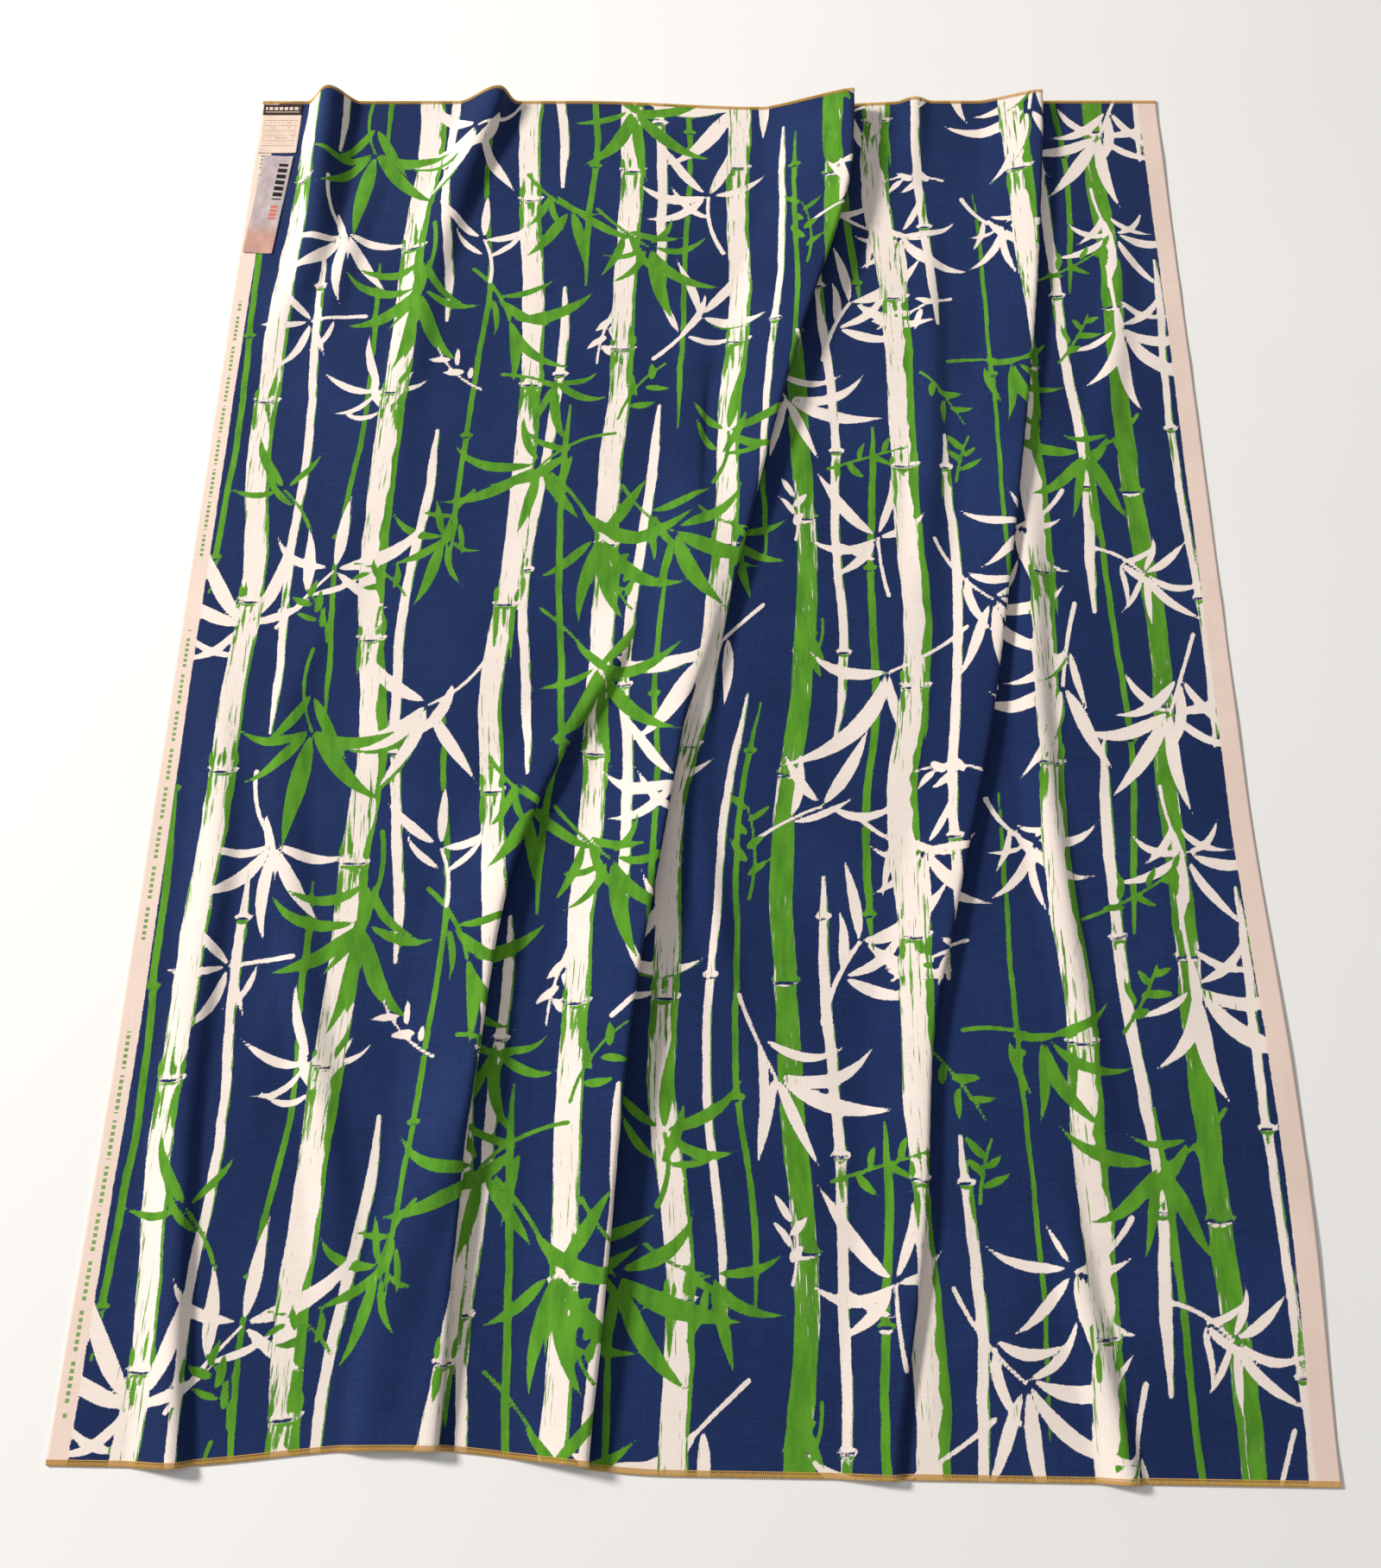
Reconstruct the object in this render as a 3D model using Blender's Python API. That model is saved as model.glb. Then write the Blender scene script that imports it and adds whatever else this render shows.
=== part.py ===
"""A length of printed furnishing cloth, laid face up on a floor in loose lengthwise ripples.

The cloth is one woven piece with a selvedge down each long side. Both cut ends are bound with a
three-thread overlock. A paper ticket and a clear film label lie on the far left corner.

Frame: +X across the cloth, +Y along it towards the end with the ticket, +Z up. The floor is z = 0
and the origin is under the middle of the laid cloth.
"""

import math
from dataclasses import dataclass

import bpy
import numpy as np

# ---- driving dimensions, in metres -------------------------------------------------------------
CLOTH_LENGTH = 1.580
CLOTH_LAID_WIDTH = 1.150
CLOTH_THICKNESS = 0.0015
END_LIFT = 0.0011
END_LIFT_REACH = 0.040
END_LIFT_FADE = ((0.00, 1.00), (0.25, 0.85), (0.62, 0.32), (1.00, 0.00))

NEAR_END_HOLLOW = 0.018
FAR_END_HOLLOW = 0.010
SIDE_FLARE = 0.010

SEAT_GAP = 0.0003
THREAD_RADIUS = 0.00025
NEEDLE_INSET = 0.0045
LOOP_OVERHANG = 0.0006

TICKET_WIDTH = 0.047
TICKET_LENGTH = 0.078
TICKET_THICKNESS = 0.0003
TICKET_SIDE_INSET = 0.003
TICKET_END_INSET = 0.0065

FILM_WIDTH = 0.036
FILM_LENGTH = 0.152
FILM_THICKNESS = 0.0002
FILM_SIDE_INSET = 0.012
FILM_GAP = 0.004
FILM_TURN = math.radians(3.0)

TICKET_HUMP_WIDTH = 0.070
TICKET_HUMP_CLEARANCE = 0.008

# ---- mesh density ------------------------------------------------------------------------------
CLOTH_COLUMNS = 74
CLOTH_ROWS = 19
SECTION_SAMPLES = 1600
CREASE_WEIGHT = 0.045


# The hump beside the ticket rises clear of both slips: its foot is three quarters of its width
# to the left of its steep side.
SLIP_REACH = 0.5 * SIDE_FLARE + max(TICKET_SIDE_INSET + TICKET_WIDTH, FILM_SIDE_INSET + FILM_WIDTH)
HUMP_SIDE = (SLIP_REACH + TICKET_HUMP_CLEARANCE + 0.75 * TICKET_HUMP_WIDTH) / CLOTH_LAID_WIDTH


@dataclass(frozen=True)
class Ripple:
    """A lengthwise ripple of the cloth.

    line holds (share along the cloth, share across it, height in metres). The share across is
    where the ripple's steep right-hand side comes down. lean shears the crest to the right, in
    metres for each metre of height, so a tall leaning ripple turns into a fold.
    """

    name: str
    width: float
    lean: float
    line: tuple


RIPPLES = (
    Ripple("ticket_hump", TICKET_HUMP_WIDTH, 0.00, (
        (0.74, HUMP_SIDE - 0.035, 0.000), (0.80, HUMP_SIDE - 0.018, 0.006),
        (0.85, HUMP_SIDE, 0.012), (0.92, HUMP_SIDE, 0.022), (1.00, HUMP_SIDE, 0.026))),
    Ripple("ticket_hump_tail", 0.052, 0.10, (
        (0.76, 0.115, 0.000), (0.82, 0.124, 0.006), (0.88, 0.141, 0.005), (0.94, 0.155, 0.000))),
    Ripple("far_left_hump", 0.078, 0.20, (
        (0.62, 0.208, 0.000), (0.75, 0.214, 0.005), (0.85, 0.232, 0.009),
        (0.93, 0.257, 0.016), (1.00, 0.286, 0.026))),
    Ripple("main_fold", 0.082, 0.95, (
        (0.34, 0.505, 0.000), (0.43, 0.509, 0.004), (0.50, 0.518, 0.010), (0.58, 0.538, 0.015),
        (0.67, 0.562, 0.019), (0.77, 0.592, 0.023), (0.86, 0.628, 0.026), (0.92, 0.646, 0.028),
        (1.00, 0.649, 0.029))),
    Ripple("far_middle_bump", 0.050, 0.20, (
        (0.90, 0.735, 0.000), (0.96, 0.742, 0.005), (1.00, 0.744, 0.008))),
    Ripple("right_fold", 0.066, 0.60, (
        (0.00, 0.660, 0.008), (0.06, 0.674, 0.010), (0.13, 0.690, 0.012), (0.20, 0.697, 0.012),
        (0.25, 0.702, 0.012), (0.31, 0.722, 0.013), (0.37, 0.742, 0.012), (0.45, 0.769, 0.012),
        (0.55, 0.793, 0.012), (0.65, 0.814, 0.013), (0.75, 0.834, 0.014), (0.85, 0.850, 0.015),
        (0.93, 0.859, 0.017), (1.00, 0.866, 0.018))),
    Ripple("right_soft_ripple", 0.056, 0.40, (
        (0.15, 0.852, 0.000), (0.21, 0.853, 0.004), (0.28, 0.841, 0.008), (0.38, 0.829, 0.010),
        (0.48, 0.825, 0.009), (0.57, 0.831, 0.007), (0.66, 0.838, 0.000))),
    Ripple("right_near_ripple", 0.050, 0.40, (
        (0.00, 0.850, 0.009), (0.06, 0.833, 0.009), (0.12, 0.820, 0.006), (0.18, 0.812, 0.000))),
    Ripple("right_edge_ripple", 0.060, 0.20, (
        (0.62, 0.912, 0.000), (0.70, 0.920, 0.004), (0.77, 0.938, 0.005),
        (0.84, 0.953, 0.004), (0.90, 0.957, 0.000))),
    Ripple("middle_right_ripple", 0.054, 0.30, (
        (0.53, 0.724, 0.000), (0.61, 0.733, 0.005), (0.72, 0.745, 0.006),
        (0.83, 0.749, 0.005), (0.90, 0.752, 0.000))),
    Ripple("long_fold", 0.078, 0.95, (
        (0.00, 0.421, 0.016), (0.06, 0.427, 0.018), (0.13, 0.431, 0.021), (0.20, 0.434, 0.024),
        (0.28, 0.443, 0.026), (0.36, 0.461, 0.025), (0.44, 0.480, 0.021), (0.51, 0.497, 0.018),
        (0.60, 0.503, 0.014), (0.70, 0.505, 0.008), (0.79, 0.506, 0.000))),
    Ripple("middle_left_fold", 0.082, 0.70, (
        (0.00, 0.306, 0.013), (0.08, 0.309, 0.015), (0.17, 0.311, 0.017), (0.25, 0.318, 0.020),
        (0.32, 0.327, 0.020), (0.38, 0.347, 0.017), (0.45, 0.391, 0.012), (0.51, 0.438, 0.008),
        (0.57, 0.473, 0.004), (0.62, 0.482, 0.000))),
    Ripple("second_crest", 0.046, 0.40, (
        (0.00, 0.256, 0.007), (0.06, 0.260, 0.009), (0.13, 0.270, 0.010),
        (0.20, 0.288, 0.007), (0.27, 0.302, 0.000))),
    Ripple("left_soft_ripple", 0.060, 0.20, (
        (0.07, 0.228, 0.000), (0.13, 0.222, 0.005), (0.19, 0.203, 0.007), (0.26, 0.176, 0.007),
        (0.34, 0.152, 0.006), (0.42, 0.137, 0.004), (0.50, 0.128, 0.000))),
    Ripple("left_edge_ripple", 0.066, 0.50, (
        (0.00, 0.112, 0.013), (0.06, 0.098, 0.013), (0.13, 0.090, 0.012), (0.20, 0.082, 0.010),
        (0.28, 0.081, 0.008), (0.36, 0.083, 0.007), (0.43, 0.072, 0.004), (0.50, 0.060, 0.000))),
    Ripple("middle_near_ripple", 0.050, 0.20, (
        (0.23, 0.556, 0.000), (0.29, 0.538, 0.005), (0.35, 0.522, 0.005), (0.41, 0.508, 0.000))),
)


def smooth_curve(points, column, share):
    """A value of a ripple's line at a share along the cloth, with its corners rounded."""
    knots = [point[0] for point in points]
    values = [point[column] for point in points]
    window = np.linspace(-0.03, 0.03, 7)
    return float(np.mean(np.interp(share + window, knots, values)))


def bump(share, centre, width):
    """A raised cosine, 1 at the centre and 0 half a width from it."""
    offset = np.clip((share - centre) / width, -0.5, 0.5)
    return np.cos(math.pi * offset) ** 2


def side_lines(share):
    """Where the left and the right selvedge run at a share along the cloth."""
    flare = SIDE_FLARE * float(bump(share, 0.18, 0.5))
    return 0.5 * SIDE_FLARE * (1.0 - float(bump(share, 0.0, 0.5))), CLOTH_LAID_WIDTH + flare


def end_lift(distance):
    """How far the cloth is held off the floor by the binding, at a distance from its cut end."""
    reach, share = zip(*END_LIFT_FADE)
    return END_LIFT * float(np.interp(distance / END_LIFT_REACH, reach, share))


def end_lift_stops():
    """The distances from a cut end at which the cloth's rise changes its slope."""
    return [reach * END_LIFT_REACH for reach, _ in END_LIFT_FADE]


def section(share):
    """The cloth's underside at a share along its length, as arrays of x and z."""
    left, right = side_lines(share)
    across = np.linspace(left, right, SECTION_SAMPLES)
    x = across.copy()
    z = np.zeros_like(across)
    for ripple in RIPPLES:
        height = smooth_curve(ripple.line, 2, share)
        if height < 0.0002:
            continue
        steep_side = CLOTH_LAID_WIDTH * smooth_curve(ripple.line, 1, share)
        centre = steep_side - ripple.width / 4 - ripple.lean * height / 2
        rise = height * bump(across, centre, ripple.width)
        z += rise
        x += ripple.lean * rise
    along = share * CLOTH_LENGTH
    z += end_lift(min(along, CLOTH_LENGTH - along))
    return x, z


def end_line(share, across):
    """How far the laid cloth's ends bow inwards, at a share across it."""
    near = NEAR_END_HOLLOW * bump(across, 0.28, 0.42) * (1.0 - share) ** 3
    far = FAR_END_HOLLOW * bump(across, 0.56, 0.40) * share ** 3
    return near - far


@dataclass
class Row:
    """One row of the cloth's underside, with the unit normal at each of its columns."""

    x: np.ndarray
    y: np.ndarray
    z: np.ndarray
    normal_x: np.ndarray
    normal_z: np.ndarray

    def lifted(self, offset):
        """The row's points moved along their normals."""
        x = self.x + offset * self.normal_x
        z = self.z + offset * self.normal_z
        return np.stack([x, self.y, z], axis=1)


def cloth_row(share, columns=CLOTH_COLUMNS, first=0.0, last=1.0):
    """A row of columns, crowded where the section bends.

    first and last are shares of the laid width, so that a row can cover only a part of it.
    """
    x, z = section(share)
    slope = np.unwrap(np.arctan2(np.gradient(z), np.gradient(x)))
    step = np.hypot(np.diff(x), np.diff(z)) + CREASE_WEIGHT * np.abs(np.diff(slope))
    measure = np.concatenate([[0.0], np.cumsum(step)])
    shares = np.linspace(0.0, 1.0, SECTION_SAMPLES)
    limits = np.interp([first, last], shares, measure)
    stops = np.linspace(limits[0], limits[1], columns)
    row_x = np.interp(stops, measure, x)
    row_z = np.interp(stops, measure, z)
    row_share = np.interp(stops, measure, shares)
    row_slope = np.interp(stops, measure, slope)
    y = share * CLOTH_LENGTH + end_line(share, row_share)
    return Row(row_x, y, row_z, -np.sin(row_slope), np.cos(row_slope))


def principled(name, colour, roughness, metallic=0.0, alpha=1.0):
    """A material with one Principled shader."""
    material = bpy.data.materials.new(name)
    material.use_nodes = True
    shader = material.node_tree.nodes["Principled BSDF"]
    shader.inputs["Base Color"].default_value = (*colour, 1.0)
    shader.inputs["Roughness"].default_value = roughness
    shader.inputs["Metallic"].default_value = metallic
    shader.inputs["Alpha"].default_value = alpha
    return material


def slab(name, lower, upper, material):
    """A closed sheet between two equal grids of points, given as lists of rows."""
    rows, columns = len(lower), len(lower[0])
    points = [tuple(map(float, point)) for grid in (lower, upper) for row in grid for point in row]
    top = rows * columns

    def corner(row, column):
        return row * columns + column

    faces = []
    for row in range(rows - 1):
        for column in range(columns - 1):
            ring = (corner(row, column), corner(row, column + 1),
                    corner(row + 1, column + 1), corner(row + 1, column))
            faces.append(tuple(reversed(ring)))
            faces.append(tuple(top + index for index in ring))
    border = [corner(0, column) for column in range(columns - 1)]
    border += [corner(row, columns - 1) for row in range(rows - 1)]
    border += [corner(rows - 1, column) for column in range(columns - 1, 0, -1)]
    border += [corner(row, 0) for row in range(rows - 1, 0, -1)]
    for start, end in zip(border, border[1:] + border[:1]):
        faces.append((start, end, top + end, top + start))
    mesh = bpy.data.meshes.new(name)
    mesh.from_pydata(points, [], faces)
    mesh.materials.append(material)
    piece = bpy.data.objects.new(name, mesh)
    bpy.context.collection.objects.link(piece)
    return piece


def row_shares():
    """The shares along the cloth at which it has a row: close together at both bound ends."""
    near = [stop / CLOTH_LENGTH for stop in end_lift_stops()]
    far = [1.0 - share for share in reversed(near)]
    middle = np.linspace(near[-1], far[0], CLOTH_ROWS)
    return [*near[:-1], *middle, *far[1:]]


def make_cloth():
    """The printed cloth itself, as one sheet."""
    rows = [cloth_row(share) for share in row_shares()]
    lower = [row.lifted(0.0) for row in rows]
    upper = [row.lifted(CLOTH_THICKNESS) for row in rows]
    return slab("printed_cloth", lower, upper, principled("cloth_navy", (0.020, 0.035, 0.130), 0.85))


def make_thread(name, points, material):
    """A thread along a list of points, as a thin tube with closed ends."""
    curve = bpy.data.curves.new(name, "CURVE")
    curve.dimensions = "3D"
    curve.bevel_depth = THREAD_RADIUS
    curve.bevel_resolution = 0
    curve.use_fill_caps = True
    spline = curve.splines.new("POLY")
    spline.points.add(len(points) - 1)
    for target, point in zip(spline.points, points):
        target.co = (*map(float, point), 1.0)
    curve.materials.append(material)
    piece = bpy.data.objects.new(name, curve)
    bpy.context.collection.objects.link(piece)
    return piece


def bound_end(end, inwards, edge_share, band_share, material):
    """The three threads of the overlock on one cut end.

    inwards is +1 or -1, the direction from the cut end into the cloth. The needle thread runs
    along the inner side of the band on the face. The two loopers zigzag between it and the cut
    edge, the upper one on the face and the lower one on the back.
    """
    edge = cloth_row(edge_share)
    band = cloth_row(band_share)
    seat = THREAD_RADIUS + SEAT_GAP
    loop_inset = NEEDLE_INSET - 2.0 * THREAD_RADIUS - SEAT_GAP

    def line(offset, insets):
        """Points on the band's flat quads, each at its own distance in from the cut edge."""
        outer, inner = edge.lifted(offset), band.lifted(offset)
        depth = (inner[:, 1] - outer[:, 1]) * inwards
        return outer + (inner - outer) * (insets / depth)[:, None]

    columns = np.arange(CLOTH_COLUMNS)
    straight = np.full(CLOTH_COLUMNS, NEEDLE_INSET)
    zigzag = np.where(columns % 2 == 0, -LOOP_OVERHANG, loop_inset)
    face = CLOTH_THICKNESS + seat
    make_thread(f"{end}_needle_thread", line(face, straight), material)
    make_thread(f"{end}_upper_looper_thread", line(face, zigzag), material)
    make_thread(f"{end}_lower_looper_thread", line(-seat, zigzag), material)


def lying_slip(name, corner, size, turn, thickness, material, columns, rows):
    """A thin slip that lies on the face of the cloth and follows its rise at the bound end.

    corner is the slip's near left corner and size its width and length, in metres from the
    cloth's left selvedge and near end. turn swings it about that corner.
    """
    base = CLOTH_THICKNESS + SEAT_GAP
    stops = [CLOTH_LENGTH - stop - corner[1] for stop in end_lift_stops()]
    lengths = set(np.linspace(0.0, size[1], rows)) | {stop for stop in stops if 0.0 < stop < size[1]}
    lower, upper = [], []
    for length in sorted(lengths):
        line = []
        for width in np.linspace(0.0, size[0], columns):
            x = corner[0] + width * math.cos(turn) + length * math.sin(turn)
            y = corner[1] - width * math.sin(turn) + length * math.cos(turn)
            rise = end_lift(CLOTH_LENGTH - y)
            line.append((x, y, base + rise))
        lower.append(line)
        upper.append([(x, y, z + thickness) for x, y, z in line])
    return slab(name, lower, upper, material)


def make_slips():
    """The paper ticket and the film label in the far left corner."""
    left, _ = side_lines(1.0)
    ticket_near = CLOTH_LENGTH - TICKET_END_INSET - TICKET_LENGTH
    lying_slip("paper_ticket", (left + TICKET_SIDE_INSET, ticket_near),
               (TICKET_WIDTH, TICKET_LENGTH), 0.0, TICKET_THICKNESS,
               principled("ticket_paper", (0.78, 0.66, 0.50), 0.70), 3, 9)
    swing = FILM_LENGTH * math.cos(FILM_TURN)
    film_near = ticket_near - FILM_GAP - swing
    lying_slip("film_label", (left + FILM_SIDE_INSET - FILM_LENGTH * math.sin(FILM_TURN), film_near),
               (FILM_WIDTH, FILM_LENGTH), FILM_TURN, FILM_THICKNESS,
               principled("film_clear", (0.70, 0.62, 0.62), 0.20, alpha=0.5), 3, 9)


def centre_on_floor(pieces):
    """Move every piece so that the origin lies under the middle of the laid cloth."""
    bpy.context.view_layer.update()
    corners = [piece.matrix_world @ point.co for piece in pieces if piece.type == "MESH"
               for point in piece.data.vertices]
    for piece in pieces:
        if piece.type == "CURVE":
            shape = piece.to_mesh()
            corners += [point.co.copy() for point in shape.vertices]
            piece.to_mesh_clear()
    low = [min(corner[axis] for corner in corners) for axis in range(3)]
    high = [max(corner[axis] for corner in corners) for axis in range(3)]
    for piece in pieces:
        piece.location = (-(low[0] + high[0]) / 2, -(low[1] + high[1]) / 2, -low[2])


def main():
    """Build the cloth and everything on it."""
    for leftover in list(bpy.data.objects):
        bpy.data.objects.remove(leftover, do_unlink=True)
    make_cloth()
    thread = principled("thread_gold", (0.42, 0.21, 0.05), 0.75)
    shares = row_shares()
    bound_end("near", 1.0, shares[0], shares[1], thread)
    bound_end("far", -1.0, shares[-1], shares[-2], thread)
    make_slips()
    centre_on_floor(list(bpy.data.objects))


main()
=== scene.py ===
"""The looks of a printed bamboo furnishing cloth, laid face up in loose lengthwise ripples."""

import logging
import math
from dataclasses import dataclass, field
from enum import Enum
from typing import Iterable, Sequence

import bpy
import numpy as np
from mathutils import Matrix, Vector


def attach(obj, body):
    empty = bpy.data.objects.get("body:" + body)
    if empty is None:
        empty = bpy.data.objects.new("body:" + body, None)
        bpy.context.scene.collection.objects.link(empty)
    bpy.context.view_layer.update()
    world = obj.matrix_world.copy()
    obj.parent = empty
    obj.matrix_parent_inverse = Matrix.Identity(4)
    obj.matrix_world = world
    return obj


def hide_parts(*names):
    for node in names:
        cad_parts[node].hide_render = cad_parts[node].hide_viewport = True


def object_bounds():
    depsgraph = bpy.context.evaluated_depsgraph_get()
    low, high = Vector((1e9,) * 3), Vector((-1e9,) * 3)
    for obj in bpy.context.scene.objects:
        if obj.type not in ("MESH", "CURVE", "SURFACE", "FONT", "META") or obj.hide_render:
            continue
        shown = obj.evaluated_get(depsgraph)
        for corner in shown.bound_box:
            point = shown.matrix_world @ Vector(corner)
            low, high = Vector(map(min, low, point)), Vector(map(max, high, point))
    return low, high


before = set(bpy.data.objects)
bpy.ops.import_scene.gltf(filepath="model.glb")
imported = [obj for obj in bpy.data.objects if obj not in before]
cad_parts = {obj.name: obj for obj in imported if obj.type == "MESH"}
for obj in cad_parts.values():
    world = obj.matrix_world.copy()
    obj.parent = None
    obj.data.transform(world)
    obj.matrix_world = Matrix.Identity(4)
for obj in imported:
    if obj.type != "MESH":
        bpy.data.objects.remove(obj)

LOG = logging.getLogger("printed_cloth")
CAD_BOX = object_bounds()

CLOTH_LENGTH = 1.580
CLOTH_FLAT_WIDTH = 1.220
LAID_WIDTH = 1.150
MILLIMETRE = 0.001
LEFT_SELVEDGE = 0.020
RIGHT_SELVEDGE = 0.022
TICKET_WIDTH, TICKET_LENGTH = 0.047, 0.078
FILM_WIDTH, FILM_LENGTH = 0.036, 0.152


# ---- shader building ---------------------------------------------------------------------------
@dataclass(frozen=True)
class Value:
    """A number socket of a node tree, on which Python's operators add Math nodes."""

    graph: "Graph"
    socket: bpy.types.NodeSocket

    def _math(self, operation: str, *others: "Value | float") -> "Value":
        """A Math node on this value and the others."""
        settings = {"operation": operation}
        return self.graph.node("ShaderNodeMath", settings, dict(enumerate((self, *others))))

    def _reflected(self, operation: str, other: "Value | float") -> "Value":
        """A Math node with the other value first."""
        settings = {"operation": operation}
        return self.graph.node("ShaderNodeMath", settings, {0: other, 1: self})

    def __add__(self, other: "Value | float") -> "Value":
        """The sum."""
        return self._math("ADD", other)

    __radd__ = __add__

    def __sub__(self, other: "Value | float") -> "Value":
        """The difference."""
        return self._math("SUBTRACT", other)

    def __rsub__(self, other: "Value | float") -> "Value":
        """The difference, with the other value first."""
        return self._reflected("SUBTRACT", other)

    def __mul__(self, other: "Value | float") -> "Value":
        """The product."""
        return self._math("MULTIPLY", other)

    __rmul__ = __mul__

    def __neg__(self) -> "Value":
        """The value with its sign turned."""
        return self._math("MULTIPLY", -1.0)

    def larger(self, other: "Value | float") -> "Value":
        """The larger of two values."""
        return self._math("MAXIMUM", other)

    def smaller(self, other: "Value | float") -> "Value":
        """The smaller of two values."""
        return self._math("MINIMUM", other)

    def absolute(self) -> "Value":
        """The value without its sign."""
        return self._math("ABSOLUTE")

    def sine(self) -> "Value":
        """The sine of the value."""
        return self._math("SINE")

    def fraction(self) -> "Value":
        """What is left of the value above the whole number below it."""
        return self._math("FRACT")

    def ramp(self, low: float, high: float, to_low: float = 0.0, to_high: float = 1.0) -> "Value":
        """The value mapped smoothly from low..high to to_low..to_high, and held beyond."""
        inputs = {0: self, 1: low, 2: high, 3: to_low, 4: to_high}
        settings = {"interpolation_type": "SMOOTHSTEP"}
        return self.graph.node("ShaderNodeMapRange", settings, inputs)

    def repeat(self, pitch: float) -> "Value":
        """How far the value is through each pitch, 0 to 1."""
        return (self * (1.0 / pitch)).fraction()

    def near(self, centre: float, full: float, none: float) -> "Value":
        """1 up to one distance from a centre, falling smoothly to 0 at another."""
        return 1.0 - (self - centre).absolute().ramp(full, none)

    def within(self, low: float, high: float, soft: float) -> "Value":
        """1 between two numbers and 0 outside them, with soft edges inside them."""
        return self.ramp(low, low + soft) * (1.0 - self.ramp(high - soft, high))


class Graph:
    """A material's node tree, ending in a Principled shader."""

    def __init__(self, name: str) -> None:
        """Start a new material.

        Args:
            name: The material's name.
        """
        self.material = bpy.data.materials.new(name)
        self.material.use_nodes = True
        self.tree = self.material.node_tree
        self.shader = self.tree.nodes["Principled BSDF"]

    def node(self, kind: str, settings: dict | None = None, inputs: dict | None = None,
             output: int | str = 0) -> Value:
        """Add a node.

        Args:
            kind: The node's type.
            settings: Its properties, set first.
            inputs: Numbers, colours or Values for its sockets, by index or name.
            output: Which of its outputs is returned.

        Returns:
            The output, as a Value.
        """
        made = self.tree.nodes.new(kind)
        for key, value in (settings or {}).items():
            setattr(made, key, value)
        for key, value in (inputs or {}).items():
            if isinstance(value, Value):
                self.tree.links.new(value.socket, made.inputs[key])
            else:
                made.inputs[key].default_value = value
        return Value(self, made.outputs[output])

    def attribute(self, name: str) -> Value:
        """A number stored on the mesh."""
        return self.node("ShaderNodeAttribute", {"attribute_name": name}, output="Fac")

    def flat_place(self) -> Value:
        """A point's place on the piece when that is flat, in metres."""
        return self.node("ShaderNodeAttribute", {"attribute_name": "flat_place"}, output="Vector")

    def place(self) -> Value:
        """The piece's own coordinates, in metres."""
        return self.node("ShaderNodeTexCoord", output="Object")

    def scaled(self, vector: Value, scale: tuple[float, float, float]) -> Value:
        """A vector scaled on each axis."""
        return self.node("ShaderNodeVectorMath", {"operation": "MULTIPLY"}, {0: vector, 1: scale})

    def parts(self, vector: Value) -> tuple[Value, Value, Value]:
        """A vector's three numbers."""
        split = self.node("ShaderNodeSeparateXYZ", {}, {0: vector})
        return tuple(Value(self, socket) for socket in split.socket.node.outputs)

    def noise(self, vector: Value, scale: float, detail: float = 2.0,
              roughness: float = 0.5) -> Value:
        """A noise value about 0.5."""
        inputs = {"Vector": vector, "Scale": scale, "Detail": detail, "Roughness": roughness}
        return self.node("ShaderNodeTexNoise", {"noise_dimensions": "3D"}, inputs, "Fac")

    def mix(self, share: Value | float, first: Value | tuple, second: Value | tuple) -> Value:
        """Two colours mixed by a share."""
        inputs = {0: share, 6: self._colour(first), 7: self._colour(second)}
        return self.node("ShaderNodeMix", {"data_type": "RGBA"}, inputs, 2)

    @staticmethod
    def _colour(colour: Value | tuple) -> Value | tuple:
        """A colour with its alpha, if it is plain numbers."""
        return colour if isinstance(colour, Value) else (*colour, 1.0)

    def shade(self, colour: Value | tuple, share: Value) -> Value:
        """A colour multiplied by a number."""
        inputs = {0: colour, "Scale": share}
        return self.node("ShaderNodeVectorMath", {"operation": "SCALE"}, inputs)

    def bump(self, height: Value, distance: float, strength: float) -> Value:
        """A normal bent by a height."""
        inputs = {"Height": height, "Distance": distance, "Strength": strength}
        return self.node("ShaderNodeBump", {}, inputs, "Normal")

    def finish(self, **sockets: "Value | float | tuple") -> bpy.types.Material:
        """Set the Principled shader's sockets.

        Args:
            sockets: Values or numbers by socket name, with _ for a space.

        Returns:
            The finished material.
        """
        for name, value in sockets.items():
            socket = self.shader.inputs[name.replace("_", " ")]
            if isinstance(value, Value):
                self.tree.links.new(value.socket, socket)
            else:
                socket.default_value = value
        return self.material


def srgb(red: int, green: int, blue: int) -> tuple[float, float, float]:
    """A colour on the screen's 0-255 scale as linear numbers."""
    def linear(channel: int) -> float:
        share = channel / 255.0
        return share / 12.92 if share <= 0.04045 else ((share + 0.055) / 1.055) ** 2.4
    return linear(red), linear(green), linear(blue)


# ---- the drape ---------------------------------------------------------------------------------
@dataclass(frozen=True)
class Ripple:
    """A lengthwise ripple of the cloth.

    line holds (share along, share across, height in metres), the share across being where the
    ripple's steep right-hand side comes down. lean shears the crest over to the right.
    """

    name: str
    width: float
    lean: float
    line: tuple[tuple[float, float, float], ...]


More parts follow.
